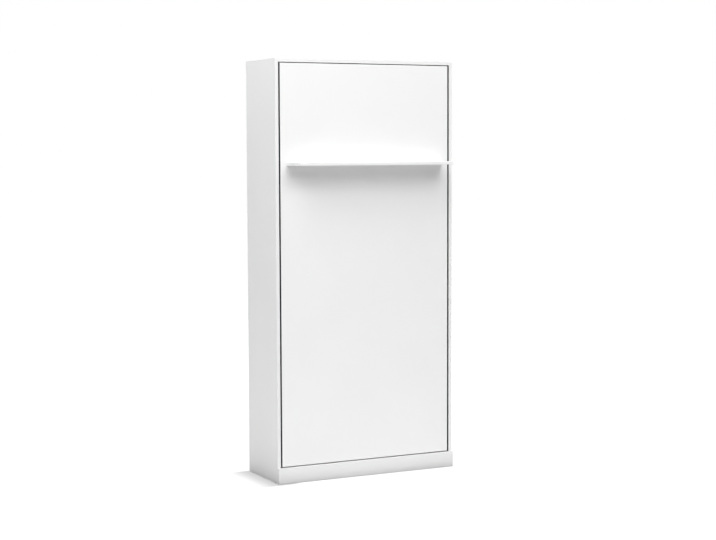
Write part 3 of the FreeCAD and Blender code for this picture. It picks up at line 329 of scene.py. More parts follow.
@dataclass(frozen=True)
class Melamine(Finish):
    """Melamine-faced board: a fine pebble, a faint cloudiness, and the glue line of its edge band.

    The glue line needs the board's box, so each board has a melamine of its own. A board that frames
    the front panel has a band of painted gap shade: a dark band inside its front edge, beside the panel's
    edge.
    Darkened edge bands are painted shade of that gap too.
    """

    low: Sequence[float] = (0, 0, 0)
    high: Sequence[float] = (0, 0, 0)
    band: float = 0.9 * MM
    edge_from: float = 0.9
    line: float = 0.12 * MM
    line_tone: float = 0.8
    # Below 1, the edge bands are painted darker: painted shade of the gap round the front panel.
    edge_band_shade: float = 1.0
    # Width and tone of the band of painted gap shade inside a framing board's front edge.
    gap_shade_width: float = 0.0
    gap_shade_tone: float = 0.045
    opening: Sequence[float] = (0, 0, 0)
    pebble: float = 1400.0
    pebble_depth: float = 0.012 * MM
    peel: float = 90.0
    peel_depth: float = 0.03 * MM
    cloud: float = 3.0
    cloud_tone: float = 0.99
    swing: float = 0.06

    def dress(self, shader: Shader) -> None:
        """Add pebble, cloudiness, glue line, the edge bands' tone and, on a framing board, the band of
        painted gap shade.

        Args:
            shader: The finish's shader.
        """
        cloud = shader.noise(shader.place, self.cloud, detail=4.0)
        tone = shader.ramp(cloud, *NARROW, self.cloud_tone, 1.0)
        fine = shader.noise(shader.place, self.pebble)
        peel = shader.noise(shader.place, self.peel)
        self.vary_gloss(shader, fine, self.swing, self.swing)
        places = shader.split()
        reach = self.reach(shader, places)
        line = shader.ramp(shader.maths("ABSOLUTE", reach), 0, self.line, 1, 0)
        edge = shader.maths("GREATER_THAN", reach, self.band * self.edge_from)
        # The glue line is a real dark joint; the darker edge bands and the band in the gap are painted shade.
        joints_and_gap_shade = [(line, self.line_tone), (edge, self.edge_band_shade)]
        if self.gap_shade_width:
            joints_and_gap_shade.append((self.in_gap_shade_band(shader, places), self.gap_shade_tone))
        for share, dark in joints_and_gap_shade:
            tone = shader.maths("MULTIPLY", tone, shader.ramp(share, 0, 1, 1, dark))
        shader.paint(shader.dimmed(self.colour, tone))
        shader.emboss(peel, self.peel_depth)
        shader.emboss(fine, self.pebble_depth)
        shader.emboss(shader.maths("SUBTRACT", 1.0, line), self.line)

    def sizes(self) -> tuple[list[float], int]:
        """Give the board's three sizes, and the axis of its thickness."""
        sizes = [far - near for near, far in zip(self.low, self.high)]
        return sizes, sizes.index(min(sizes))

    def in_gap_shade_band(self, shader: Shader, places: list[Socket]) -> Socket:
        """Give 1 on the band of painted gap shade, on the face that looks at the opening, and 0 elsewhere.

        Args:
            shader: The finish's shader.
            places: The place's x, y and z.

        Returns:
            The mask.
        """
        thin = self.sizes()[1]
        inside = min((self.low[thin], self.high[thin]), key=lambda face: abs(face - self.opening[thin]))
        on_face = shader.maths("COMPARE", places[thin], inside, self.line / 2)
        near = shader.maths("LESS_THAN", places[1], self.low[1] + self.gap_shade_width)
        behind = shader.maths("GREATER_THAN", places[1], self.low[1] + self.line)
        return shader.maths("MULTIPLY", on_face, shader.maths("MULTIPLY", near, behind))

    def reach(self, shader: Shader, places: list[Socket]) -> Socket:
        """Give how far a place lies past the edge band's inner edge: 0 on the glue line, more outside it.

        Args:
            shader: The finish's shader.
            places: The place's x, y and z.

        Returns:
            The distance in metres.
        """
        sizes, thin = self.sizes()
        reaches = []
        for axis in (axis for axis in range(3) if axis != thin):
            middle = (self.low[axis] + self.high[axis]) / 2
            off = shader.maths("ABSOLUTE", shader.maths("SUBTRACT", places[axis], middle))
            reaches.append(shader.maths("SUBTRACT", off, sizes[axis] / 2 - self.band))
        return shader.maths("MAXIMUM", *reaches)


@dataclass(frozen=True)
class Grained(Finish):
    """Moulded plastic, rubber, paint or cast metal: an even grain of one size and depth."""

    grain: float = 900.0
    patch: float = 40.0
    depth: float = 0.03 * MM
    swing: float = 0.06
    tone: float = 0.97
    coat: float = 0.0

    def dress(self, shader: Shader) -> None:
        """Add the grain, and tone and gloss that vary with it.

        Args:
            shader: The finish's shader.
        """
        fine = shader.noise(shader.place, self.grain, detail=3.0)
        broad = shader.noise(shader.place, self.grain / self.patch, detail=3.0)
        self.vary_gloss(shader, broad, self.swing, self.swing)
        shader.paint(shader.dimmed(self.colour, shader.ramp(fine, *NARROW, self.tone, 1.0)))
        shader.emboss(fine, self.depth)
        shader.set("Coat Weight", self.coat)


@dataclass(frozen=True)
class Plated(Finish):
    """Zinc-plated, chromed or drawn steel: faint marks along the metal and a slightly uneven gloss."""

    marks: Colour = (60.0, 60.0, 60.0)
    marks_scale: float = 12.0
    cloud: float = 35.0
    depth: float = 0.004 * MM
    swing: float = 0.07
    stain: Colour = (0.66, 0.66, 0.62)
    stained: Sequence[float] = (0.4, 0.75)

    def dress(self, shader: Shader) -> None:
        """Add the drawing marks, the uneven gloss and the passivation's tint.

        Args:
            shader: The finish's shader.
        """
        drawn = shader.noise(shader.stretched(self.marks), self.marks_scale, detail=4.0)
        cloud = shader.noise(shader.place, self.cloud, detail=3.0)
        self.vary_gloss(shader, drawn, self.swing, self.swing)
        shader.paint(shader.between(shader.ramp(cloud, *self.stained, 0, 1), self.colour, self.stain))
        shader.emboss(drawn, self.depth)


@dataclass(frozen=True)
class Beech(Finish):
    """Bent beech plywood: stacked plies that follow the slat's bow, long grain and small dark flecks."""

    low: float = 0.0
    thick: float = 8 * MM
    bend: float = 0.0
    plies: int = 7
    ply_room: float = 0.995
    ply_start: float = 0.015
    cross_tone: float = 0.62
    dark: Colour = (0.50, 0.33, 0.19)
    dark_share: float = 0.55
    darkened: Sequence[float] = (0.35, 0.7)
    fleck: Colour = (0.36, 0.21, 0.11)
    fleck_share: float = 0.6
    flecked: Sequence[float] = (0.66, 0.74)
    ring_tones: Sequence[float] = (0.86, 1.04)
    grain_stretch: Colour = (1.5, 90.0, 90.0)
    ring_stretch: Colour = (0.6, 14.0, 14.0)
    fleck_stretch: Colour = (160.0, 1100.0, 1100.0)
    grain_depth: float = 0.03 * MM
    swing: Sequence[float] = (0.06, 0.1)

    def dress(self, shader: Shader) -> None:
        """Add plies, grain and flecks.

        Args:
            shader: The finish's shader.
        """
        x, y, _ = shader.split()
        drop = shader.maths("MULTIPLY", shader.maths("MULTIPLY", x, x), self.bend)
        level = shader.maths("SUBTRACT", shader.maths("ADD", y, drop), self.low)
        plies = shader.maths("MULTIPLY", level, self.ply_room * self.plies / self.thick)
        ply = shader.maths("ADD", plies, self.ply_start)
        odd = shader.maths("GREATER_THAN", shader.maths("MODULO", ply, 2.0), 1.0)
        grain = shader.noise(shader.stretched(self.grain_stretch), scale=2.2, detail=5.0)
        rings = shader.noise(shader.stretched(self.ring_stretch), scale=2.0)
        flecks = shader.noise(shader.stretched(self.fleck_stretch), scale=1.0, detail=1.0)
        wood = shader.between(shader.ramp(grain, *self.darkened, 0, self.dark_share), self.colour, self.dark)
        spotted = shader.between(shader.ramp(flecks, *self.flecked, 0, self.fleck_share), wood, self.fleck)
        tone = shader.maths("MULTIPLY", shader.ramp(rings, *BROAD, *self.ring_tones),
                            shader.ramp(odd, 0, 1, 1, self.cross_tone))
        shader.paint(shader.dimmed(spotted, tone))
        self.vary_gloss(shader, grain, *self.swing)
        shader.emboss(grain, self.grain_depth)
        shader.emboss(flecks, self.grain_depth)


@dataclass(frozen=True)
class Knit(Finish):
    """Knitted mattress cover: small loops in rows, with a soft sheen and painted shade in the hollows between
    them.
    """

    loop: float = 1.7 * MM
    loop_squash: Colour = (1.0, 1.0, 0.7)
    loop_depth: float = 0.35 * MM
    loop_hollow_shade: float = 0.9
    loop_edge: Sequence[float] = (0.1, 0.75)
    fuzz: float = 1600.0
    fuzz_depth: float = 0.12 * MM
    blotch: float = 9.0
    blotch_tone: float = 0.975
    sheen: float = 0.35
    sheen_roughness: float = 0.4

    def dress(self, shader: Shader) -> None:
        """Add loops, fuzz and sheen.

        Args:
            shader: The finish's shader.
        """
        loops = shader.cells(shader.stretched(self.loop_squash), 1 / self.loop)
        fuzz = shader.noise(shader.place, self.fuzz, detail=3.0)
        blotch = shader.noise(shader.place, self.blotch, detail=4.0)
        # The hollows between the loops are darker: painted shade, where the relief below sinks.
        tone = shader.maths("MULTIPLY", shader.ramp(loops, *self.loop_edge, 1.0, self.loop_hollow_shade),
                            shader.ramp(blotch, *BROAD, self.blotch_tone, 1.0))
        shader.paint(shader.dimmed(self.colour, tone))
        shader.emboss(shader.maths("SUBTRACT", 1.0, loops), self.loop_depth)
        shader.emboss(fuzz, self.fuzz_depth)
        shader.set("Sheen Weight", self.sheen)
        shader.set("Sheen Roughness", self.sheen_roughness)


@dataclass(frozen=True)
class Webbing(Finish):
    """Woven strap: rows of small floats across it, each row shifted half a float from the last.

    The rows follow the strap round the mattress, because |x| grows and y falls along it all the way.
    """

    row: float = 2.0 * MM
    float_wide: float = 2.5 * MM
    float_edge: Sequence[float] = (0.3, 0.95)
    cross_share: float = 0.8
    depth: float = 0.45 * MM
    weave_hollow_shade: float = 0.45
    fuzz: float = 2500.0
    fuzz_depth: float = 0.08 * MM
    fuzz_tones: Sequence[float] = (0.8, 1.1)
    sheen: float = 0.25

    def dress(self, shader: Shader) -> None:
        """Add the floats, their shade and the thread's fuzz.

        Args:
            shader: The finish's shader.
        """
        x, y, z = shader.split()
        run = shader.maths("SUBTRACT", shader.maths("ABSOLUTE", x), y)
        count = shader.maths("MULTIPLY", run, math.pi / self.row)
        across = shader.maths("MULTIPLY", z, math.pi / self.float_wide)
        ridge, cross = (shader.maths("ABSOLUTE", shader.maths("SINE", shader.maths(operation, count, across)))
                        for operation in ("ADD", "SUBTRACT"))
        height = shader.maths("MAXIMUM", ridge, shader.maths("MULTIPLY", cross, self.cross_share))
        fuzz = shader.noise(shader.place, self.fuzz)
        # The low parts of the weave are darker: painted shade between the floats.
        tone = shader.maths("MULTIPLY", shader.ramp(height, *self.float_edge, self.weave_hollow_shade, 1.0),
                            shader.ramp(fuzz, *BROAD, *self.fuzz_tones))
        shader.paint(shader.dimmed(self.colour, tone))
        shader.emboss(height, self.depth)
        shader.emboss(fuzz, self.fuzz_depth)
        shader.set("Sheen Weight", self.sheen)


FINISHES: dict[Slot, Finish] = {
    Slot.BACK_BOARD: Melamine("back_board_lacquer", (0.84, 0.84, 0.835), 0.5),
    Slot.WHITE_PLASTIC: Grained("white_section_plastic", (0.83, 0.83, 0.82), 0.42),
    Slot.GREY_PLASTIC: Grained("grey_moulded_plastic", (0.27, 0.275, 0.285), 0.5, grain=1100.0),
    Slot.BLACK_PLASTIC: Grained("black_moulded_plastic", (0.018, 0.018, 0.02), 0.45, grain=1300.0, tone=0.8),
    Slot.ZINC_STEEL: Plated("zinc_plating", (0.66, 0.67, 0.69), 0.3, 1.0),
    Slot.ZINC_CAST: Grained("zinc_casting", (0.5, 0.51, 0.53), 0.42, 1.0, grain=700.0, depth=0.05 * MM),
    Slot.PLATE_STEEL: Plated("rolled_plate", (0.62, 0.63, 0.65), 0.34, 1.0, marks=(40.0, 40.0, 2.0)),
    Slot.FRAME_PAINT: Grained("silver_powder_coat", (0.42, 0.43, 0.45), 0.42, 0.35, grain=650.0,
                              depth=0.05 * MM, tone=0.93),
    Slot.CYLINDER_PAINT: Grained("black_satin_paint", (0.012, 0.012, 0.013), 0.3, grain=260.0,
                                 depth=0.02 * MM, coat=0.4),
    Slot.EYE_STEEL: Plated("eye_plating", (0.62, 0.62, 0.63), 0.28, 1.0),
    Slot.ROD_CHROME: Plated("hard_chrome", (0.78, 0.79, 0.81), 0.09, 1.0, swing=0.03, depth=0.001 * MM,
                            stain=(0.76, 0.77, 0.79)),
    Slot.BRONZE: Grained("sintered_bronze", (0.50, 0.30, 0.13), 0.4, 1.0, grain=1500.0, depth=0.06 * MM,
                         tone=0.75),
    Slot.RUBBER: Grained("black_rubber", (0.02, 0.02, 0.02), 0.75, grain=800.0, depth=0.05 * MM),
    Slot.MATTRESS_COVER: Knit("knitted_cover", (0.80, 0.80, 0.785), 0.85),
    Slot.STRAP_WEB: Webbing("woven_webbing", (0.045, 0.046, 0.05), 0.62),
}


class Finishes:
    """The materials in use, each made once."""

    def __init__(self) -> None:
        """Make the material of every slot that all its pieces share."""
        self.made: dict[Slot, Material] = {}
        for slot, finish in FINISHES.items():
            self.made[slot] = finish.material()

    def __getitem__(self, slot: Slot) -> Material:
        """Give a slot's material."""
        return self.made[slot]


def dress_node(node: str, material: Material) -> None:
    """Give a CAD node its material, in the slots that it has.

    Args:
        node: The CAD node.
        material: Its finish.
    """
    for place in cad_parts[node].material_slots:
        place.material = material
    log.info("dressed %s with %s", node, material.name)


def put(name: str, data: bpy.types.ID) -> bpy.types.Object:
    """Make an object of some data and link it to the scene.

    Args:
        name: The object's name.
        data: Its mesh, curve, lamp or camera.

    Returns:
        The object.
    """
    thing = bpy.data.objects.new(name, data)
    bpy.context.scene.collection.objects.link(thing)
    return thing


def add_piece(mesh: Mesh, name: str, body: Body, material: Material,
              replaces: Sequence[str] = (), sharp: float = 35.0) -> bpy.types.Object:
    """Put a finished mesh in the scene as a piece of the bed.

    Args:
        mesh: The mesh, with its place in its vertices.
        name: The piece's name.
        body: The body that it moves with.
        material: The finish itself.
        replaces: CAD nodes that it stands for.
        sharp: Faces that meet at a larger angle than this, in degrees, keep a sharp edge between them.

    Returns:
        The new object.
    """
    mesh.name = name
    mesh.materials.clear()
    mesh.materials.append(material)
    mesh.shade_smooth()
    mesh.set_sharp_from_angle(angle=math.radians(sharp))
    piece = put(name, mesh)
    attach(piece, body.value)
    if replaces:
        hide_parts(*replaces)
    log.info("made %s, %d faces", name, len(mesh.polygons))
    return piece


def close_mesh(shape: Shape, recalculate: bool = True) -> Mesh:
    """Turn a bmesh into a mesh and free it.

    Args:
        shape: The bmesh, freed afterwards.
        recalculate: True to turn all faces outwards first.

    Returns:
        The mesh.
    """
    if recalculate:
        bmesh.ops.recalc_face_normals(shape, faces=shape.faces)
    mesh = bpy.data.meshes.new("mesh")
    shape.to_mesh(mesh)
    shape.free()
    if "custom_normal" in mesh.attributes:
        mesh.attributes.remove(mesh.attributes["custom_normal"])
    return mesh


def merged_node(node: str) -> Shape:
    """Copy a CAD node's mesh, with its loose triangles merged into whole faces.

    Args:
        node: The CAD node.

    Returns:
        The copy.
    """
    shape = bmesh.new()
    shape.from_mesh(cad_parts[node].data)
    bmesh.ops.remove_doubles(shape, verts=shape.verts, dist=MERGE)
    return shape


def islands(shape: Shape) -> list[list[bmesh.types.BMVert]]:
    """Give the vertices of each separate solid in a mesh.

    Args:
        shape: A mesh of one or more solids.

    Returns:
        One list of vertices for each solid.
    """
    left = set(shape.verts)
    found = []
    while left:
        group = [left.pop()]
        for vert in group:
            for edge in vert.link_edges:
                other = edge.other_vert(vert)
                if other in left:
                    left.remove(other)
                    group.append(other)
        found.append(group)
    return found


def box_of(points: Iterable[Vector]) -> tuple[Vector, Vector]:
    """Give the lowest and highest corner of some points."""
    rows = list(zip(*points))
    return Vector([min(row) for row in rows]), Vector([max(row) for row in rows])


def solid_boxes(node: str) -> list[tuple[Vector, Vector]]:
    """Give the box of each solid in a CAD node, from the lowest up and the left on.

    Args:
        node: The CAD node.

    Returns:
        Pairs of lowest and highest corner.
    """
    shape = merged_node(node)
    boxes = [box_of(vert.co for vert in group) for group in islands(shape)]
    shape.free()
    return sorted(boxes, key=lambda box: (round(box[0].z, 4), round(box[0].x, 4), round(box[0].y, 4)))


def round_edges(shape: Shape, edges: Iterable[bmesh.types.BMEdge], width: float, segments: int) -> None:
    """Round some edges of a solid, with a number of steps across the rounding."""
    bmesh.ops.bevel(shape, geom=edges, offset=width, offset_type="OFFSET", affect="EDGES", segments=segments,
                    profile=0.5, material=-1, clamp_overlap=True)


def soften(shape: Shape, width: float, segments: int = 2, corner: float = 40.0) -> None:
    """Round the edges of a solid where its faces meet at a steep angle.

    Args:
        shape: The solid, changed in place.
        width: The rounding's width in metres.
        segments: Steps across the rounding.
        corner: The least angle between two faces, in degrees, that is rounded.
    """
    bmesh.ops.dissolve_limit(shape, angle_limit=FLAT, verts=shape.verts, edges=shape.edges)
    steep = math.radians(corner)
    edges = [edge for edge in shape.edges if len(edge.link_faces) == 2 and edge.calc_face_angle(0) > steep]
    round_edges(shape, edges, width, segments)


def soft_copy(node: str, body: Body, material: Material, width: float, segments: int = 2,
              corner: float = 40.0) -> bpy.types.Object:
    """Stand a copy with rounded edges in a CAD node's place.

    Args:
        node: The CAD node.
        body: The body that it moves with.
        material: The finish.
        width: The rounding's width in metres.
        segments: Steps across the rounding.
        corner: The least angle between two faces, in degrees, that is rounded.

    Returns:
        The new piece.
    """
    shape = merged_node(node)
    soften(shape, width, segments, corner)
    return add_piece(close_mesh(shape, False), node + "_rounded", body, material, (node,), corner)


def block(size: Sequence[float], place: Matrix) -> Shape:
    """Make a plain block round the origin, then turn it and move it to its place.

    Args:
        size: Its three sizes.
        place: Its turn and place.

    Returns:
        The block.
    """
    shape = bmesh.new()
    bmesh.ops.create_cube(shape, size=1.0, matrix=place @ Matrix.Diagonal((*size, 1)))
    return shape


def rounded_block(size: Sequence[float], centre: Sequence[float], radius: float, segments: int = 3) -> Shape:
    """Make a block with rounded edges.

    Args:
        size: Its three outer sizes.
        centre: Its middle.
        radius: The radius of its edges.
        segments: Steps across a rounding.

    Returns:
        The block.
    """
    shape = block(size, Matrix.Translation(centre))
    round_edges(shape, shape.edges, radius, segments)
    return shape


def turned(profile: Sequence[tuple[float, float]], steps: int = 20) -> Shape:
    """Turn a profile about the Z axis.

    Args:
        profile: Pairs of radius and height, the first and last on the axis.
        steps: Steps round the axis.

    Returns:
        The closed turned shape.
    """
    shape = bmesh.new()
    verts = [shape.verts.new((radius, 0, height)) for radius, height in profile]
    edges = [shape.edges.new(pair) for pair in zip(verts, verts[1:])]
    bmesh.ops.spin(shape, geom=verts + edges, cent=(0, 0, 0), axis=(0, 0, 1), angle=2 * math.pi, steps=steps,
                   use_merge=True)
    bmesh.ops.remove_doubles(shape, verts=shape.verts, dist=MERGE)
    return shape


def gather(parts: Iterable[Shape]) -> Shape:
    """Put several solids into one bmesh and free them.

    Args:
        parts: The solids, freed afterwards.

    Returns:
        The whole.
    """
    whole = bmesh.new()
    for part in parts:
        bmesh.ops.recalc_face_normals(part, faces=part.faces)
        mesh = bpy.data.meshes.new("part")
        part.to_mesh(mesh)
        part.free()
        whole.from_mesh(mesh)
        bpy.data.meshes.remove(mesh)
    return whole


def join_piece(parts: Iterable[Shape], name: str, body: Body, material: Material,
               replaces: Sequence[str] = (), sharp: float = 35.0) -> None:
    """Put several solids in the scene as one piece. The other arguments are those of add_piece."""
    add_piece(close_mesh(gather(parts), False), name, body, material, replaces, sharp)


def copy_to(mesh: Mesh, place: Matrix) -> Shape:
    """Copy a mesh to a place.

    Args:
        mesh: The mesh.
        place: Its new turn and place.

    Returns:
        The copy.
    """
    shape = bmesh.new()
    shape.from_mesh(mesh)
    bmesh.ops.transform(shape, matrix=place, verts=shape.verts)
    return shape


def curve_mesh(points: Sequence[Vector], thick: float, wide: float = 0.0, closed: bool = False,
               resolution: int = 2) -> Mesh:
    """Sweep a round cord, or a flat band that stands on the XY plane, along a line.

    Args:
        points: The line.
        thick: The cord's diameter, or the band's thickness.
        wide: The band's whole width along Z, or 0 for a cord.
        closed: True where the line runs back to its start.
        resolution: How finely the section is rounded.

    Returns:
        The swept mesh.
    """
    curve = bpy.data.curves.new("line", "CURVE")
    curve.dimensions = "2D" if wide else "3D"
    curve.fill_mode = "NONE" if wide else "FULL"
    spline = curve.splines.new("POLY")
    spline.points.add(len(points) - 1)
    for target, point in zip(spline.points, points):
        target.co = (*point, 1.0)
    spline.use_cyclic_u = closed
    curve.bevel_depth = thick / 2
    curve.bevel_resolution = resolution
    curve.extrude = max(0.0, (wide - thick) / 2)
    curve.use_fill_caps = not closed
    holder = put("line", curve)
    mesh = bpy.data.meshes.new_from_object(holder.evaluated_get(bpy.context.evaluated_depsgraph_get()))
    bpy.data.objects.remove(holder)
    bpy.data.curves.remove(curve)
    return mesh


def stitch_row(start: Vector, end: Vector, long: float, gap: float, thick: float) -> list[Shape]:
    """Lay short straight stitches from one point to another.

    Args:
        start: Where the row starts.
        end: Where it ends.
        long: A stitch's length.
        gap: The least gap between two stitches.
        thick: The thread's thickness.

    Returns:
        The stitches.
    """
    count = max(1, int((end - start).length / (long + gap)))
    turn = (end - start).to_track_quat("X", "Y").to_matrix().to_4x4()
    return [block((long, thick, thick), Matrix.Translation(start.lerp(end, (index + 0.5) / count)) @ turn)
            for index in range(count)]


def arc(centre: Sequence[float], radius: float, start: float, end: float, steps: int) -> list[Vector]:
    """Give points along an arc in the XY plane, angles in degrees.

    Args:
        centre: The arc's centre.
        radius: Its radius.
        start: The angle at its start.
        end: The angle at its end.
        steps: Steps along it.

    Returns:
        Its points, one more than its steps.
    """
    points = []
    for index in range(steps + 1):
        angle = math.radians(start + (end - start) * index / steps)
        points.append(Vector((centre[0] + radius * math.cos(angle), centre[1] + radius * math.sin(angle), 0)))
    return points


@dataclass
class Boards:
    """The cabinet's boards, the front panel and the shelf."""

    finishes: Finishes
    cabinet_white: Colour = (0.86, 0.86, 0.86)
    front_white: Colour = (0.89, 0.89, 0.89)
    cabinet_roughness: float = 0.46
    front_roughness: float = 0.4
    # The front panel's edge bands are painted near black: painted shade of the gap round the panel.
    front_edge_gap_shade: float = 0.045
    # Width of the band of painted shade of the gap round the front panel, inside the framing boards' front
    # edges.
    gap_shade_width: float = 20 * MM
    framing_boards: Sequence[str] = ("left_side_panel", "right_side_panel", "top_panel")
    cabinet_boards: Sequence[str] = ("left_side_panel", "right_side_panel", "top_panel", "base_panel",
                                     "upper_rear_rail", "lower_rear_rail", "plinth_board")
    back_boards: Sequence[str] = ("back_panel_upper", "back_panel_lower")

    def build(self) -> None:
        """Dress every board in melamine whose glue line follows its own edges."""
        for node in self.cabinet_boards:
            self.face(node, self.cabinet_white, self.cabinet_roughness)
        self.face("front_panel", self.front_white, self.front_roughness, self.front_edge_gap_shade)
        self.face("shelf", self.front_white, self.front_roughness)
        for node in self.back_boards:
            dress_node(node, self.finishes[Slot.BACK_BOARD])
        dress_node("back_joint_strip", self.finishes[Slot.WHITE_PLASTIC])

    def face(self, node: str, white: Colour, roughness: float, edge_band_shade: float = 1.0) -> None:
        """Dress one board.

        Args:
            node: The board.
            white: Its colour.
            roughness: Its roughness.
            edge_band_shade: How dark its edge bands are painted, 1 for as white as its faces; below 1 it is
                painted shade of the gap round the front panel.
        """
        low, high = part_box(node)
        front_low, front_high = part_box("front_panel")
        melamine = Melamine(node + "_melamine", white, roughness, low=tuple(low), high=tuple(high),
                            edge_band_shade=edge_band_shade, gap_shade_width=self.gap_shade_width if node in self.framing_boards else 0.0,
                            opening=tuple((front_low + front_high) / 2))
        dress_node(node, melamine.material())


@dataclass
class Screws:
    """Screws with a cross recess and a threaded shank, put where the CAD's plain screws are."""

    finishes: Finishes
    steps: int = 16
    least_head: float = 0.3 * MM
    dome: Sequence[tuple[float, float]] = ((0.86, 0.18), (1.0, 0.55), (1.0, 1.0))
    rim_from: float = 0.98
    thread_pitch: float = 1.8 * MM
    thread_share: float = 0.78
    thread_steps: Sequence[float] = (0.35, 0.8, 1.0)
    recess_share: float = 0.62
    recess_long_share: float = 0.85
    recess_wide_share: float = 0.21
    recess_deep_share: float = 0.7
    recess_taper: float = 0.7

    def build(self) -> None:
        """Make every row of screws."""
        for node in ("back_panel_screws", "cabinet_screws", "mount_plate_screws"):
            self.row(node, Body.CABINET)
        for node in ("shelf_screws", "panel_screws"):
            self.row(node, Body.BED)

    def row(self, node: str, body: Body) -> None:
        """Make one node's screws.

        Args:
            node: The CAD node of the plain screws.
            body: The body that they move with.
        """
        plain = merged_node(node)
        templates: dict[tuple, Mesh] = {}
        screws = []
        for group in islands(plain):
            head, tip, wide, tall, shank = self.measure([vert.co for vert in group])
            key = (round((head - tip).length, 5), round(wide, 5), round(tall, 5), round(shank, 5))
            if key not in templates:
                templates[key] = self.screw((head - tip).length, wide, tall, shank)
            turn = (head - tip).to_track_quat("Z", "Y").to_matrix().to_4x4()
            screws.append(copy_to(templates[key], Matrix.Translation(head) @ turn))
        plain.free()
        zinc = self.finishes[Slot.ZINC_STEEL]
        join_piece(screws, node + "_cross_head", body, zinc, (node,))

    def measure(self, points: list[Vector]) -> tuple[Vector, Vector, float, float, float]:
        """Find a plain screw's head and tip and its sizes.

        Args:
            points: The corners of the plain screw.

        Returns:
            The middle of its head's top, its tip, its head's radius and height, and its shank's radius.
        """
        low, high = box_of(points)
        sizes = high - low
        axis = max(range(3), key=lambda index: sizes[index])
        middle = (low + high) / 2
        first, last = middle.copy(), middle.copy()
        first[axis], last[axis] = low[axis], high[axis]

        def reach(end: Vector) -> float:
            """Give the radius at one end."""
            near = [point for point in points if abs(point[axis] - end[axis]) < TOUCH]
            return max((point - end).length for point in near)

        head, tip = (first, last) if reach(first) > reach(last) else (last, first)
        others = [index for index in range(3) if index != axis]
        wide = max(sizes[index] for index in others) / 2
        rim = [abs(point[axis] - head[axis]) for point in points
               if math.hypot(*[(point - middle)[index] for index in others]) > self.rim_from * wide]
        return head, tip, wide, max(rim), reach(tip)

    def screw(self, long: float, wide: float, tall: float, shank: float) -> Mesh:
        """Make one screw with its head's top at the origin and its tip down.

        Args:
            long: Its whole length.
            wide: Its head's radius.
            tall: Its head's height.
            shank: Its shank's radius.

        Returns:
            The screw.
        """
        core = shank * self.thread_share
        flat = wide * self.recess_share
        tall = max(tall, self.least_head)
        profile = [(flat, 0.0)] + [(wide * out, -tall * down) for out, down in self.dome] + [(shank, -tall)]
        turns = max(2, int((long - tall - 2 * shank) / self.thread_pitch))
        start = long - 2 * shank - turns * self.thread_pitch
        profile.append((shank, -start))
        for index in range(turns):
            for radius, step in zip((core, shank, core), self.thread_steps):
                profile.append((radius, -(start + (index + step) * self.thread_pitch)))
        profile.append((0.0, -long))
        shape = turned(profile, self.steps)
        self.recess(shape, flat, tall)
        return close_mesh(shape)

    def recess(self, shape: Shape, flat: float, tall: float) -> None:
        """Close the head's top round a sunk cross.

        Args:
            shape: The turned screw, open at its head's top.
            flat: The opening's radius.
            tall: The head's height.
        """
        rim = [edge for edge in shape.edges if len(edge.link_faces) == 1]
        ring = bmesh.ops.create_circle(shape, cap_ends=False, radius=flat, segments=12)["verts"]
        tip, half = flat * self.recess_long_share, flat * self.recess_wide_share
        for index, vert in enumerate(ring):
            quarter, step = divmod(index, 3)
            corner = Vector((*((tip, -half), (tip, half), (half, half))[step], 0))
            vert.co = Matrix.Rotation(quarter * math.pi / 2, 3, "Z") @ corner
        sides = list({edge for vert in ring for edge in vert.link_edges})
        bmesh.ops.bridge_loops(shape, edges=rim + sides)
        walls = bmesh.ops.extrude_edge_only(shape, edges=sides)["geom"]
        sunk = [item for item in walls if isinstance(item, bmesh.types.BMVert)]
        bmesh.ops.translate(shape, verts=sunk, vec=(0, 0, -self.recess_deep_share * tall))
        bmesh.ops.scale(shape, verts=sunk, vec=(self.recess_taper, self.recess_taper, 1))
        floor = [item for item in walls if isinstance(item, bmesh.types.BMEdge)
                 and all(vert in sunk for vert in item.verts)]
        bmesh.ops.contextual_create(shape, geom=floor)


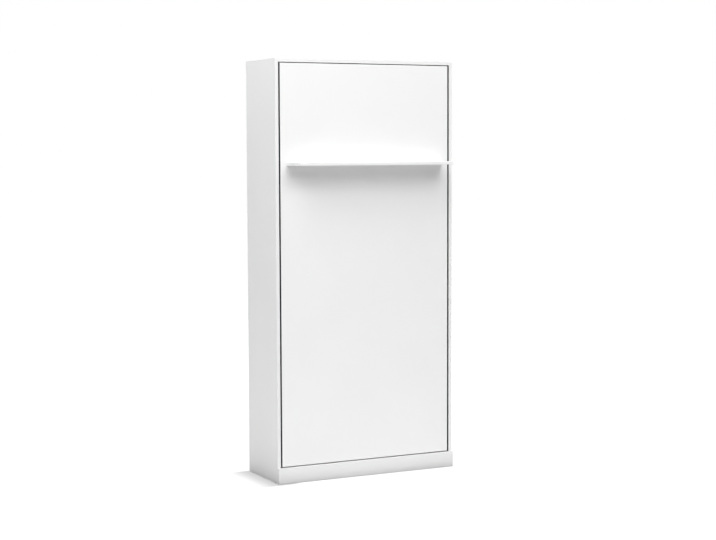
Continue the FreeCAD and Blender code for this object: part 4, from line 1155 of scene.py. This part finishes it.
@dataclass
class Rings:
    """Retaining rings on the pivot pins and studs: open rings with two pierced ears."""

    finishes: Finishes
    gap: float = 38.0
    steps: int = 28
    inner_share: float = 0.667
    rim_share: float = 0.94
    ear_share: float = 0.62
    ear_hole_share: float = 0.42
    ear_turn: float = 4.0
    ear_steps: int = 14

    def build(self) -> None:
        """Make all the rings."""
        zinc = self.finishes[Slot.ZINC_STEEL]
        clips = {"pin_clips": Body.CABINET, "anchor_clips": Body.CABINET, "rod_clips": Body.BED}
        for node, body in clips.items():
            rings = [self.ring(low, high) for low, high in solid_boxes(node)]
            join_piece(rings, node + "_open_ring", body, zinc, (node,))

    def ring(self, low: Vector, high: Vector) -> Shape:
        """Make the ring that fills a box.

        Args:
            low: The box's lowest corner.
            high: Its highest corner.

        Returns:
            The ring, in place.
        """
        outer, half = (high.z - low.z) / 2, (high.x - low.x) / 2
        inner, rim = outer * self.inner_share, outer * self.rim_share
        section = bmesh.new()
        corners = ((0, inner, -half), (0, rim, -half), (0, rim, half), (0, inner, half))
        face = section.faces.new([section.verts.new(corner) for corner in corners])
        begin = math.radians(self.gap / 2)
        bmesh.ops.rotate(section, verts=section.verts, cent=(0, 0, 0), matrix=Matrix.Rotation(begin, 3, "Z"))
        bmesh.ops.spin(section, geom=[face, *face.verts, *face.edges], cent=(0, 0, 0), axis=(0, 0, 1),
                       angle=2 * math.pi - 2 * begin, steps=self.steps)
        whole = gather([section] + [self.ear(inner, outer, 2 * half, sign) for sign in (-1, 1)])
        place = Matrix.Translation((low + high) / 2) @ Matrix.Rotation(math.pi / 2, 4, "Y")
        bmesh.ops.transform(whole, matrix=place, verts=whole.verts)
        return whole

    def ear(self, inner: float, outer: float, thick: float, sign: int) -> Shape:
        """Make one ear, a small pierced disc at the ring's end.

        Args:
            inner: The ring's inner radius.
            outer: The radius of the clip's box.
            thick: The ring's thickness.
            sign: The side of the gap, 1 or -1.

        Returns:
            The ear.
        """
        radius = (outer - inner) * self.ear_share
        shape = bmesh.new()
        for size in (radius, radius * self.ear_hole_share):
            bmesh.ops.create_circle(shape, cap_ends=False, radius=size, segments=self.ear_steps)
        bmesh.ops.bridge_loops(shape, edges=shape.edges[:])
        bmesh.ops.translate(shape, verts=shape.verts, vec=(0, 0, -thick / 2))
        raised = bmesh.ops.extrude_face_region(shape, geom=shape.faces[:])["geom"]
        raised = [item for item in raised if isinstance(item, bmesh.types.BMVert)]
        bmesh.ops.translate(shape, verts=raised, vec=(0, 0, thick))
        angle = math.radians(90 + sign * (self.gap / 2 - self.ear_turn))
        reach = (outer * self.rim_share + inner) / 2
        middle = (reach * math.cos(angle), reach * math.sin(angle), 0)
        bmesh.ops.translate(shape, verts=shape.verts, vec=middle)
        return shape


@dataclass
class Steelwork:
    """Everything of steel, plastic and rubber whose CAD shape is right: edges rounded and dressed."""

    finishes: Finishes

    def build(self) -> None:
        """Make the rounded copies and dress the small pieces that stay."""
        for nodes, body, slot, width, segments in self.rows():
            for node in nodes:
                soft_copy(node, body, self.finishes[slot], width, segments)
        for node, slot in (("cam_bolts", Slot.ZINC_STEEL), ("floor_glides", Slot.GREY_PLASTIC)):
            dress_node(node, self.finishes[slot])

    @staticmethod
    def rows() -> list[tuple[tuple[str, ...], Body, Slot, float, int]]:
        """Give the nodes that are rounded alike, with their body, slot, rounding and steps across it.

        Returns:
            The rows.
        """
        bed, cabinet = Body.BED, Body.CABINET
        rows = [
            (("cross_rails", "head_rail", "foot_rail"), bed, Slot.FRAME_PAINT, 0.7 * MM, 2),
            (("head_retainer", "foot_retainer"), bed, Slot.FRAME_PAINT, 0.6 * MM, 2),
            (("panel_tabs",), bed, Slot.FRAME_PAINT, 0.5 * MM, 2),
            (("rail_end_caps", "slat_holders"), bed, Slot.BLACK_PLASTIC, 0.5 * MM, 2),
            (("arm_bolts",), bed, Slot.ZINC_STEEL, 0.5 * MM, 2),
            (("rod_studs",), bed, Slot.ZINC_STEEL, 0.4 * MM, 2),
            (("pivot_bushes",), bed, Slot.BRONZE, 0.25 * MM, 1),
            (("cylinder_studs", "wall_washers"), cabinet, Slot.ZINC_STEEL, 0.4 * MM, 2),
            (("plinth_brackets",), cabinet, Slot.ZINC_STEEL, 0.5 * MM, 2),
            (("cam_housings",), cabinet, Slot.ZINC_CAST, 0.3 * MM, 2),
            (("stop_blocks",), cabinet, Slot.GREY_PLASTIC, 1.2 * MM, 3),
            (("stop_pads",), cabinet, Slot.RUBBER, 0.8 * MM, 3),
            (("wood_dowels",), cabinet, Slot.BEECH, 0.8 * MM, 2),
        ]
        for side in ("left", "right"):
            cylinder, rod = Body(side + "_cylinder"), Body(side + "_rod")
            rows += [
                ((side + "_side_rail", side + "_pivot_arm"), bed, Slot.FRAME_PAINT, 0.7 * MM, 2),
                ((side + "_mount_plate",), cabinet, Slot.PLATE_STEEL, 0.5 * MM, 2),
                ((side + "_pivot_pin",), cabinet, Slot.ZINC_STEEL, 0.4 * MM, 2),
                ((side + "_strut_cylinder",), cylinder, Slot.CYLINDER_PAINT, 0.5 * MM, 2),
                ((side + "_cylinder_eye",), cylinder, Slot.EYE_STEEL, 0.5 * MM, 2),
                ((side + "_strut_rod",), rod, Slot.ROD_CHROME, 0.3 * MM, 1),
                ((side + "_rod_eye",), rod, Slot.EYE_STEEL, 0.5 * MM, 2),
            ]
        return rows


@dataclass
class Slats:
    """Bent beech slats with rounded long edges, in beech whose plies follow the bow."""

    finishes: Finishes
    colour: Colour = (0.62, 0.44, 0.27)
    roughness: float = 0.42
    thick: float = 8 * MM
    crown: float = 5 * MM
    edge_round: float = 2.2 * MM

    def build(self) -> None:
        """Make the slats."""
        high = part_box("slats")[1]
        beech = Beech("beech_plywood", self.colour, self.roughness, low=high.y - self.thick, thick=self.thick,
                      bend=self.crown / (high.x * high.x))
        self.finishes.made[Slot.BEECH] = beech.material()
        soft_copy("slats", Body.BED, self.finishes[Slot.BEECH], self.edge_round, 3)


@dataclass
class Mattress:
    """Quilted mattress: a cloth cover blown up between its stitch lines, with a piping at both rims.

    The mattress hangs upright while the bed is closed. Its sleeping side faces +Y and its underside,
    which the slats carry, faces -Y.
    """

    finishes: Finishes
    across: int = 60
    along: int = 132
    deep: int = 12
    diamond: int = 6
    border_rows: Sequence[int] = (4, 8)
    edge_radius: float = 13 * MM
    corner_steps: int = 6
    start_inset: float = 3 * MM
    stitch_sunk: float = 9 * MM
    border_sunk: float = 7 * MM
    proud: float = 5 * MM
    side_proud: float = 2.5 * MM
    top_slack: float = 0.05
    frames: int = 20
    pressure: float = 4.0
    mass: float = 0.3
    stiffness: float = 12.0
    bending: float = 0.6
    press_wide: float = 20 * MM
    press_fade: float = 26 * MM
    press_room: float = 0.9 * MM
    press_radius: float = 16 * MM
    piping: float = 6 * MM
    piping_bite: float = 0.1
    rim_step: float = 12 * MM
    thread_share: float = 0.62
    stitch_long: float = 4 * MM
    stitch_gap: float = 1.8 * MM
    stitch_thick: float = 1.3 * MM

    def build(self) -> None:
        """Make the mattress, its piping and its stitches."""
        self.low, self.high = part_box("mattress")
        self.straps = [(low.z + high.z) / 2 for low, high in solid_boxes("mattress_straps")]
        shape, held = self.blank()
        mesh = close_mesh(shape)
        mesh = self.simulate(mesh, held)
        self.settle(mesh)
        cover = self.finishes[Slot.MATTRESS_COVER]
        piece = add_piece(mesh, "quilted_mattress", Body.BED, cover, ("mattress",),
                          sharp=180.0)
        smoothing = piece.modifiers.new("smoothing", "SUBSURF")
        smoothing.levels = smoothing.render_levels = 1
        self.add_piping(cover)
        self.sew_channels()

    def blank(self) -> tuple[Shape, set[int]]:
        """Make the cover before it is blown up.

        Returns:
            The gridded box, and the indices of its stitched vertices.
        """
        inset = self.start_inset
        low = self.low + Vector((inset, 0, inset))
        high = self.high - Vector((inset, inset, inset))
        size = high - low
        shape = block(size, Matrix.Translation((low + high) / 2))
        for axis, count in ((0, self.across), (2, self.along), (1, self.deep)):
            edges = [edge for edge in shape.edges
                     if abs((edge.verts[0].co - edge.verts[1].co)[axis]) > size[axis] / 2]
            bmesh.ops.subdivide_edges(shape, edges=edges, cuts=count - 1, use_grid_fill=True)
        shape.verts.index_update()
        held: set[int] = set()
        counts = (self.across, self.deep, self.along)
        for vert in shape.verts:
            cell = [round((vert.co[axis] - low[axis]) / size[axis] * counts[axis]) for axis in range(3)]
            on_side = [cell[axis] in (0, counts[axis]) for axis in range(3)]
            sunk = self.stitch(cell, on_side)
            if sunk is not None:
                held.add(vert.index)
            self.shape_vertex(vert, low, high, sunk or 0.0)
        return shape, held

    def stitch(self, cell: list[int], on_side: list[bool]) -> float | None:
        """Say whether a vertex is held, and how deep its stitch is.

        Args:
            cell: The vertex's place in the grid.
            on_side: For each axis, whether the vertex is on that side of the box.

        Returns:
            The depth in metres, or None where the cover is free.
        """
        if cell[1] == 0 or sum(on_side) > 1:
            return 0.0
        if on_side[1]:
            slant = (cell[0] + cell[2]) % self.diamond == 0 or (cell[0] - cell[2]) % self.diamond == 0
            return self.stitch_sunk if slant else None
        return self.border_sunk if cell[1] in self.border_rows else None

    def shape_vertex(self, vert: bmesh.types.BMVert, low: Vector, high: Vector, sunk: float) -> None:
        """Round the box's edges at a vertex, and sink it under its stitch.

        Args:
            vert: The vertex.
            low: The box's lowest corner.
            high: Its highest corner.
            sunk: The stitch's depth there.
        """
        radius = Vector((self.edge_radius,) * 3)
        inner = Vector(map(max, low + radius, map(min, vert.co, high - radius)))
        away = vert.co - inner
        if away.length > 0:
            vert.co = inner + away.normalized() * (self.edge_radius - sunk)

    def simulate(self, mesh: Mesh, held: set[int]) -> Mesh:
        """Blow the cover up between its stitches.

        Args:
            mesh: The cover as it is cut.
            held: The indices of its stitched vertices.

        Returns:
            The blown-up cover.
        """
        cover = put("cover", mesh)
        near, far = self.low.y + self.edge_radius, self.high.y - self.edge_radius
        border = [vertex.index for vertex in mesh.vertices if near < vertex.co.y < far]
        for name, members in (("stitches", sorted(held)), ("border", border)):
            cover.vertex_groups.new(name=name).add(members, 1.0, "REPLACE")
        cloth = cover.modifiers.new("cloth", "CLOTH")
        settings = cloth.settings
        settings.quality = 4
        settings.mass = self.mass
        settings.tension_stiffness = settings.compression_stiffness = self.stiffness
        settings.bending_stiffness = self.bending
        settings.shrink_min = -self.top_slack
        settings.shrink_max = 0.0
        settings.vertex_group_shrink = "border"
        settings.use_pressure = True
        settings.uniform_pressure_force = self.pressure
        settings.vertex_group_mass = "stitches"
        settings.effector_weights.gravity = 0
        cloth.collision_settings.use_collision = False
        cloth.point_cache.frame_start = 1
        cloth.point_cache.frame_end = self.frames
        scene = bpy.context.scene
        for number in range(1, self.frames + 1):
            scene.frame_set(number)
        blown = bpy.data.meshes.new_from_object(cover.evaluated_get(bpy.context.evaluated_depsgraph_get()))
        bpy.data.objects.remove(cover)
        scene.frame_set(1)
        return blown

    def settle(self, mesh: Mesh) -> None:
        """Keep the cover in its room, and press it in under the straps.

        Args:
            mesh: The blown-up cover.
        """
        for vertex in mesh.vertices:
            place = vertex.co.copy()
            place.z = min(max(place.z, self.low.z), self.high.z)
            place.y = max(place.y, self.low.y)
            vertex.co = self.pressed(place)

    def pressed(self, place: Vector) -> Vector:
        """Give a point of the cover after the straps have pulled it in.

        Args:
            place: The point before.

        Returns:
            The point, no further out than its room at that height allows.
        """
        near = min(abs(place.z - strap) for strap in self.straps)
        fade = min(1.0, max(0.0, (near - self.press_wide) / self.press_fade))
        free = fade * fade * (3 - 2 * fade)
        top_room = free * (self.proud + self.press_room) - self.press_room
        side_room = free * (self.side_proud + self.press_room) - self.press_room
        radius = self.press_radius
        inner = Vector((min(max(place.x, self.low.x + radius), self.high.x - radius),
                        min(max(place.y, self.low.y + radius), self.high.y - radius), place.z))
        away = place - inner
        if away.length < radius - self.press_room:
            return place
        lift = max(0.0, away.y) / away.length
        room = side_room + (top_room - side_room) * lift
        return inner + away.normalized() * min(away.length, radius + room)

    def add_piping(self, cover: Material) -> None:
        """Sew a round piping along the two rims of the border.

        Args:
            cover: The cover's finish.
        """
        shoulder = self.edge_radius * (1 - math.sqrt(0.5))
        sunk = self.start_inset + shoulder - self.piping * self.piping_bite
        loops = []
        for depth in (self.high.y - sunk, self.low.y + shoulder):
            loop = bmesh.new()
            loop.from_mesh(curve_mesh(self.rim(sunk, depth), self.piping, closed=True))
            for vert in loop.verts:
                vert.co = self.pressed(vert.co)
            loops.append(loop)
        join_piece(loops, "mattress_piping", Body.BED, cover, sharp=60.0)

    def sew_channels(self) -> None:
        """Sew a row of stitches along each channel of the border."""
        sunk = self.start_inset + self.border_sunk * self.thread_share
        stitches = []
        for row in self.border_rows:
            depth = self.low.y + (self.high.y - self.start_inset - self.low.y) * row / self.deep
            points = self.rim(sunk, depth)
            for start, end in zip(points, points[1:] + points[:1]):
                stitches += stitch_row(start, end, self.stitch_long, self.stitch_gap, self.stitch_thick)
        thread = Grained("mattress_thread", (0.5, 0.5, 0.51), 0.7, grain=3000.0, depth=0.05 * MM)
        join_piece(stitches, "mattress_channel_stitches", Body.BED, thread.material())

    def rim(self, sunk: float, depth: float) -> list[Vector]:
        """Give the line of a rim, a rectangle with round corners that stands upright.

        Args:
            sunk: How far it lies inside the mattress's outline.
            depth: Its y.

        Returns:
            Points along it.
        """
        corner = self.edge_radius * math.sqrt(0.5)
        half = self.high.x - sunk - corner
        bottom, top = self.low.z + sunk + corner, self.high.z - sunk - corner
        points: list[Vector] = []
        for index, centre in enumerate(((half, top), (-half, top), (-half, bottom), (half, bottom))):
            for point in arc(centre, corner, 90 * index, 90 * index + 90, self.corner_steps):
                points.append(Vector((point.x, depth, point.y)))
        dense: list[Vector] = []
        for start, end in zip(points, points[1:] + points[:1]):
            count = max(1, int((end - start).length / self.rim_step))
            dense += [start.lerp(end, number / count) for number in range(count)]
        return dense


@dataclass
class Straps:
    """Two straps over the mattress, each in two halves that meet in a side-release buckle.

    Each half starts on a side rail, runs up the mattress's side and over it, turns round the buckle's
    bar and comes back over itself, where a crossed box of stitches holds it.
    """

    finishes: Finishes
    bar_reach: float = 24.5 * MM
    bar_room: float = 2.2 * MM
    play: float = 0.3 * MM
    tail: float = 95 * MM
    foot: float = 16 * MM
    corner: float = 16.3 * MM
    foot_turn: float = 1.6
    lead_in: float = 12 * MM
    lead_out: float = 14 * MM
    lead_layer: float = 1.15
    upper_layer: float = 1.06
    stitch_long: float = 3.2 * MM
    stitch_gap: float = 1.3 * MM
    stitch_thick: float = 0.7 * MM
    box_start: float = 30 * MM
    box_end: float = 8 * MM
    box_side: float = 5 * MM
    rivet_radius: float = 5.5 * MM
    rivet_dome: Sequence[tuple[float, float]] = (
        (0.0, 2.2 * MM), (0.5, 1.9 * MM), (0.85, 1.1 * MM), (1.0, 0.0), (0.0, 0.0))
    rivet_share: float = 0.6
    thick_share: float = 0.94

    @property
    def height(self) -> float:
        """The height of the strap's middle line."""
        return (self.low.z + self.high.z) / 2

    def build(self) -> None:
        """Make both straps with their stitches and rivets."""
        parts, threads, rivets = [], [], []
        for low, high in solid_boxes("mattress_straps"):
            self.low, self.high = low, high
            self.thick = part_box("strap_buckles")[0].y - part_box("mattress")[1].y - self.play
            for sign in (-1, 1):
                parts.append(self.half(sign))
                threads += self.box_stitch(sign)
                rivets.append(self.rivet(sign))
        web, zinc = self.finishes[Slot.STRAP_WEB], self.finishes[Slot.ZINC_STEEL]
        thread = Grained("strap_thread", (0.32, 0.32, 0.33), 0.7, grain=3000.0, depth=0.05 * MM)
        join_piece(parts, "woven_straps", Body.BED, web, ("mattress_straps",), sharp=50.0)
        join_piece(threads, "strap_stitching", Body.BED, thread.material())
        join_piece(rivets, "strap_rivets", Body.BED, zinc)

    def half(self, sign: int) -> Shape:
        """Make one half of a strap.

        Args:
            sign: 1 for the right half, -1 for the left.

        Returns:
            The half, in place.
        """
        thick, bar = self.thick, self.bar_reach
        side, top = self.high.x - thick / 2, self.high.y - thick / 2
        rail = self.low.y + thick / 2
        small, bend = self.foot_turn * thick, self.corner + thick / 2
        radius = self.bar_room + thick / 2
        points = [Vector((side - self.foot, rail, 0))]
        points += arc((side - small, rail + small), small, -90, 0, steps=4)
        points += arc((side - bend, top - bend), bend, 0, 90, steps=8)
        points.append(Vector((bar + self.lead_in, top, 0)))
        points += arc((bar, top + radius), radius, 270, 90, steps=8)
        for reach, layer in ((self.lead_out, self.lead_layer), (self.tail / 2, self.upper_layer),
                             (self.tail, self.upper_layer)):
            points.append(Vector((bar + reach, top + thick * layer, 0)))
        shape = bmesh.new()
        shape.from_mesh(curve_mesh(points, thick * self.thick_share, self.high.z - self.low.z, resolution=1))
        place = Matrix.Translation((0, 0, self.height)) @ Matrix.Diagonal((sign, 1, 1, 1))
        bmesh.ops.transform(shape, matrix=place, verts=shape.verts)
        bmesh.ops.remove_doubles(shape, verts=shape.verts, dist=TOUCH)
        return shape

    def box_stitch(self, sign: int) -> list[Shape]:
        """Sew a crossed box through the two layers next to the buckle.

        Args:
            sign: 1 for the right half, -1 for the left.

        Returns:
            The stitches, in place.
        """
        half = (self.high.z - self.low.z) / 2 - self.box_side
        near, far = self.bar_reach + self.box_start, self.bar_reach + self.tail - self.box_end
        face = self.high.y + self.thick * self.upper_layer
        corners = [Vector((sign * across, face, self.height + up))
                   for across, up in ((near, -half), (far, -half), (far, half), (near, half))]
        lines = [*zip(corners, corners[1:] + corners[:1]), (corners[0], corners[2]), (corners[1], corners[3])]
        return [stitch for start, end in lines
                for stitch in stitch_row(start, end, self.stitch_long, self.stitch_gap, self.stitch_thick)]

    def rivet(self, sign: int) -> Shape:
        """Fasten a half's foot to its side rail with a domed rivet.

        Args:
            sign: 1 for the right half, -1 for the left.

        Returns:
            The rivet, in place.
        """
        radius = self.rivet_radius
        shape = turned([(radius * share, height) for share, height in self.rivet_dome], steps=18)
        middle = (sign * (self.high.x - self.foot * self.rivet_share), self.low.y + self.thick, self.height)
        place = Matrix.Translation(middle) @ Matrix.Rotation(-math.pi / 2, 4, "X")
        bmesh.ops.transform(shape, matrix=place, verts=shape.verts)
        return shape


@dataclass
class Buckles:
    """Side-release buckles: a housing with two side windows, a plug whose prongs show in them, two bars."""

    finishes: Finishes
    bar_reach: float = 24.5 * MM
    bar_radius: float = 1.4 * MM
    bar_share: float = 0.47
    lift: float = 1.9 * MM
    shell_round: float = 1.6 * MM
    teeth: int = 4

    def build(self) -> None:
        """Make both buckles."""
        parts = []
        for low, high in solid_boxes("strap_buckles"):
            mould = close_mesh(self.buckle(high - low))
            parts.append(copy_to(mould, Matrix.Translation((low + high) / 2)))
        join_piece(parts, "side_release_buckles", Body.BED,
                   self.finishes[Slot.BLACK_PLASTIC], ("strap_buckles",), sharp=40.0)

    def buckle(self, size: Vector) -> Shape:
        """Make one buckle round the origin, flat on the XZ plane.

        Args:
            size: Its outer sizes.

        Returns:
            The buckle.
        """
        half, thick, tall = size / 2, size.y, size.z
        # Each row is a block's size, middle and rounding: the housing, its shoulder and the plug's grip.
        blocks = [
            ((20 * MM, thick, tall * 0.8), (-2 * MM, 0, 0), self.shell_round),
            ((7 * MM, thick, tall * 0.96), (-12 * MM, 0, 0), self.shell_round),
            ((9 * MM, thick * 0.82, tall * 0.96), (13 * MM, 0, 0), self.shell_round),
        ]
        bars = []
        for sign in (-1, 1):
            # A prong, two cheeks, the outer bar, the round bar that a strap turns about, and a row of teeth.
            blocks.append(((17 * MM, thick * 0.7, 6 * MM), (1 * MM, 0, sign * (half.z - 4.2 * MM)), 1.4 * MM))
            for side in (-1, 1):
                blocks.append(((half.x - 13 * MM, thick * 0.7, 3.6 * MM),
                               (side * (half.x + 13 * MM) / 2, 0, sign * (half.z - 2.2 * MM)), 1.2 * MM))
            blocks.append(((5.2 * MM, 2.6 * MM, tall * 0.94),
                           (sign * (half.x - 2.6 * MM), 0.6 * MM, 0), 1.1 * MM))
            bars.append(self.bar(sign * self.bar_reach, tall))
            blocks += [((1.2 * MM, thick * 0.66, 1.6 * MM),
                        ((3 * index - 4) * MM, 0, sign * (half.z - 1.0 * MM)), 0.4 * MM, 2)
                       for index in range(self.teeth)]
        return gather([rounded_block(*row) for row in blocks] + bars)

    def bar(self, across: float, tall: float) -> Shape:
        """Make the round bar that a strap turns about.

        Args:
            across: Its place along the strap.
            tall: The buckle's width across the strap.

        Returns:
            The bar.
        """
        radius, end = self.bar_radius, tall * self.bar_share
        shape = turned([(0.0, -end), (radius, -end), (radius, end), (0.0, end)], steps=12)
        bmesh.ops.translate(shape, verts=shape.verts, vec=(across, -self.lift, 0))
        return shape


@dataclass(frozen=True)
class Lamp:
    """A square soft lamp: where it stands, what it points at, its side and its power in watts."""

    name: str
    place: Colour
    target: Colour
    side: float
    power: float


@dataclass
class Studio:
    """White studio: floor, sky, soft lamps, and the camera of the photograph."""

    lamps: Sequence[Lamp] = (
        Lamp("front", (1.0, -7.0, 6.5), (0.0, 0.0, 1.2), 4.5, 303.0),
        Lamp("front_steep", (0.6, -3.0, 5.6), (0.0, 0.0, 1.4), 4.0, 68.0),
        Lamp("left_high", (-3.4, -1.0, 4.8), (-0.4, 0.0, 1.6), 3.5, 89.0),
        Lamp("left_top", (-2.6, -2.0, 5.6), (0.0, 0.0, 1.6), 3.5, 112.5),
        Lamp("left_low", (-5.5, 0.5, 1.2), (-0.4, 0.0, 0.8), 3.0, 19.0),
        Lamp("right", (5.4, 0.9, 3.6), (0.4, 0.1, 1.1), 3.5, 100.0),
        Lamp("back", (-0.8, 7.0, 4.6), (0.0, 0.0, 1.1), 4.5, 140.0),
    )
    sky: float = 0.125
    floor_side: float = 60.0
    floor_glow: float = 0.87
    glow_reach: Sequence[float] = (0.9, 3.5)
    floor_shade: float = 0.24
    # The light that the floor throws up is a painted pool: strong near the cabinet, weaker far off.
    floor_bounce: Sequence[float] = (0.88, 0.45)
    bounce_reach: Sequence[float] = (0.8, 3.0)
    # Painted contact shade: the floor throws less light up close to the cabinet's base.
    contact_shade_reach: Sequence[float] = (0.23, 0.075)
    contact_shade_tone: float = 0.1
    # A painted shadow on the floor beside the cabinet's left side, none to its right.
    shadow_reach: Sequence[float] = (0.16, 0.04)
    shadow_tone: float = 0.5
    shadow_side: Sequence[float] = (-0.5, -0.36)
    camera_place: Colour = (-3.7426, -7.4748, 1.7209)
    camera_yaw: float = 0.4655
    camera_pitch: float = 0.0783
    camera_roll: float = -0.0034
    focal_pixels: float = 1602.3
    picture_wide: float = 716.0
    sensor: float = 36.0

    def build(self) -> None:
        """Set the whole studio up."""
        bpy.context.scene.view_settings.view_transform = "Standard"
        self.make_sky()
        self.make_floor()
        for lamp in self.lamps:
            self.make_lamp(lamp)
        self.make_camera()

    @staticmethod
    def seen(tree: bpy.types.NodeTree) -> Socket:
        """Give 1 for rays that show a background: from the camera, or by way of metal or glass.

        Args:
            tree: The node tree that asks.

        Returns:
            The mask.
        """
        path = tree.nodes.new("ShaderNodeLightPath")
        total = path.outputs["Is Camera Ray"]
        for name in ("Is Glossy Ray", "Is Transmission Ray"):
            larger = tree.nodes.new("ShaderNodeMath")
            larger.operation = "MAXIMUM"
            tree.links.new(total, larger.inputs[0])
            tree.links.new(path.outputs[name], larger.inputs[1])
            total = larger.outputs[0]
        return total

    def mix_by_ray(self, tree: bpy.types.NodeTree, lighting: Socket, background: Socket, output: str) -> None:
        """Light the bed with one shader, and show another as the background.

        Args:
            tree: The node tree of both.
            lighting: The shader that lights the bed.
            background: The shader that the camera sees.
            output: The name of the tree's output node.
        """
        mixed = tree.nodes.new("ShaderNodeMixShader")
        for target, source in zip(mixed.inputs, (self.seen(tree), lighting, background)):
            tree.links.new(source, target)
        tree.links.new(mixed.outputs[0], tree.nodes[output].inputs["Surface"])

    def make_sky(self) -> None:
        """Make a sky that looks white and lights softly from all round."""
        world = bpy.data.worlds.new("studio_sky")
        bpy.context.scene.world = world
        world.use_nodes = True
        tree = world.node_tree
        soft, white = tree.nodes["Background"], tree.nodes.new("ShaderNodeBackground")
        for sky, strength in ((soft, self.sky), (white, 1.0)):
            sky.inputs["Color"].default_value = (1, 1, 1, 1)
            sky.inputs["Strength"].default_value = strength
        self.mix_by_ray(tree, soft.outputs[0], white.outputs[0], "World Output")

    def make_floor(self) -> None:
        """Make a floor that looks white, keeps the bed's shadow and throws light back up. The light that it
        throws up is a painted pool, stronger near the cabinet than far off, with painted contact shade at the
        cabinet's base;
        beside the cabinet's left side the floor that is seen carries a painted shadow.
        """
        shape = bmesh.new()
        bmesh.ops.create_grid(shape, x_segments=1, y_segments=1, size=self.floor_side / 2)
        floor = put("studio_floor", close_mesh(shape))
        shader = Shader("studio_floor", (1.0, 1.0, 1.0), 1.0, 0.0)
        tree = shader.tree
        away = self.away_from_base(shader, (1.0, 1.0))
        bounce = tree.nodes.new("ShaderNodeBsdfDiffuse")
        # Painted contact shade near the base, times the painted pool of thrown-up light.
        near = self.away_from_base(shader, self.contact_shade_reach)
        painted_contact_shade = shader.ramp(near, 0.0, 1.0, self.contact_shade_tone, 1.0)
        bounce_pool_and_contact_shade = shader.maths("MULTIPLY", painted_contact_shade, shader.ramp(away, *self.bounce_reach, *self.floor_bounce))
        shader.feed(bounce.inputs["Color"], shader.dimmed((1.0, 1.0, 1.0), bounce_pool_and_contact_shade))
        shade = tree.nodes.new("ShaderNodeBsdfDiffuse")
        shade.inputs["Color"].default_value = (self.floor_shade,) * 3 + (1.0,)
        glow = tree.nodes.new("ShaderNodeEmission")
        # Painted shadow: the floor's glow is dimmed beside the cabinet's left side only.
        painted_floor_shadow = shader.ramp(self.away_from_base(shader, self.shadow_reach), 0.0, 1.0, self.shadow_tone, 1.0)
        painted_floor_shadow = shader.maths("MAXIMUM", painted_floor_shadow, shader.ramp(shader.split()[0], *self.shadow_side, 0.0, 1.0))
        far = shader.ramp(away, *self.glow_reach, self.floor_glow, 1.0)
        shader.feed(glow.inputs["Strength"], shader.maths("MULTIPLY", far, painted_floor_shadow))
        bright = tree.nodes.new("ShaderNodeAddShader")
        tree.links.new(glow.outputs[0], bright.inputs[0])
        tree.links.new(shade.outputs[0], bright.inputs[1])
        self.mix_by_ray(tree, bounce.outputs[0], bright.outputs[0], "Material Output")
        tree.nodes.remove(shader.surface)
        floor.data.materials.append(shader.material)

    @staticmethod
    def away_from_base(shader: Shader, unit: Sequence[float]) -> Socket:
        """Give the distance along the floor from the cabinet's base.

        Args:
            shader: The floor's shader.
            unit: What counts as one along x and along y.

        Returns:
            The distance, 0 under the cabinet.
        """
        low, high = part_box("plinth_board")[0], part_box("right_side_panel")[1]
        squares = []
        for value, near, far, one in zip(shader.split(), low, high, unit):
            off = shader.maths("ABSOLUTE", shader.maths("SUBTRACT", value, (near + far) / 2))
            past = shader.maths("MAXIMUM", shader.maths("SUBTRACT", off, (far - near) / 2), 0.0)
            squares.append(shader.maths("POWER", shader.maths("DIVIDE", past, one), 2.0))
        return shader.maths("SQRT", shader.maths("ADD", squares[0], squares[1]))

    @staticmethod
    def make_lamp(lamp: Lamp) -> None:
        """Hang one soft lamp.

        Args:
            lamp: The lamp.
        """
        light = bpy.data.lights.new(lamp.name, "AREA")
        light.shape = "SQUARE"
        light.size = lamp.side
        light.energy = lamp.power
        holder = put(lamp.name, light)
        holder.location = lamp.place
        holder.visible_camera = False
        holder.rotation_mode = "QUATERNION"
        holder.rotation_quaternion = (Vector(lamp.place) - Vector(lamp.target)).to_track_quat("Z", "Y")

    def make_camera(self) -> None:
        """Stand the camera where the photograph was taken from."""
        yaw, pitch, roll = self.camera_yaw, self.camera_pitch, self.camera_roll
        ahead = Vector((math.sin(yaw) * math.cos(pitch), math.cos(yaw) * math.cos(pitch), -math.sin(pitch)))
        level = Vector((math.cos(yaw), -math.sin(yaw), 0))
        upright = level.cross(ahead)
        right = math.cos(roll) * level + math.sin(roll) * upright
        up = math.cos(roll) * upright - math.sin(roll) * level
        data = bpy.data.cameras.new("photo_camera")
        data.sensor_width = self.sensor
        data.lens = self.focal_pixels / self.picture_wide * self.sensor
        camera = put("photo_camera", data)
        camera.rotation_mode = "QUATERNION"
        camera.location = self.camera_place
        camera.rotation_quaternion = Matrix((right, up, -ahead)).transposed().to_quaternion()
        bpy.context.scene.camera = camera


def main() -> None:
    """Dress the bed, piece by piece, and set up the studio."""
    logging.basicConfig(level=logging.INFO, format="%(name)s: %(message)s")
    finishes = Finishes()
    for builder in (Boards, Slats, Steelwork, Screws, Rings, Mattress, Straps, Buckles):
        builder(finishes).build()
    Studio().build()


if __name__ == "__main__":
    main()
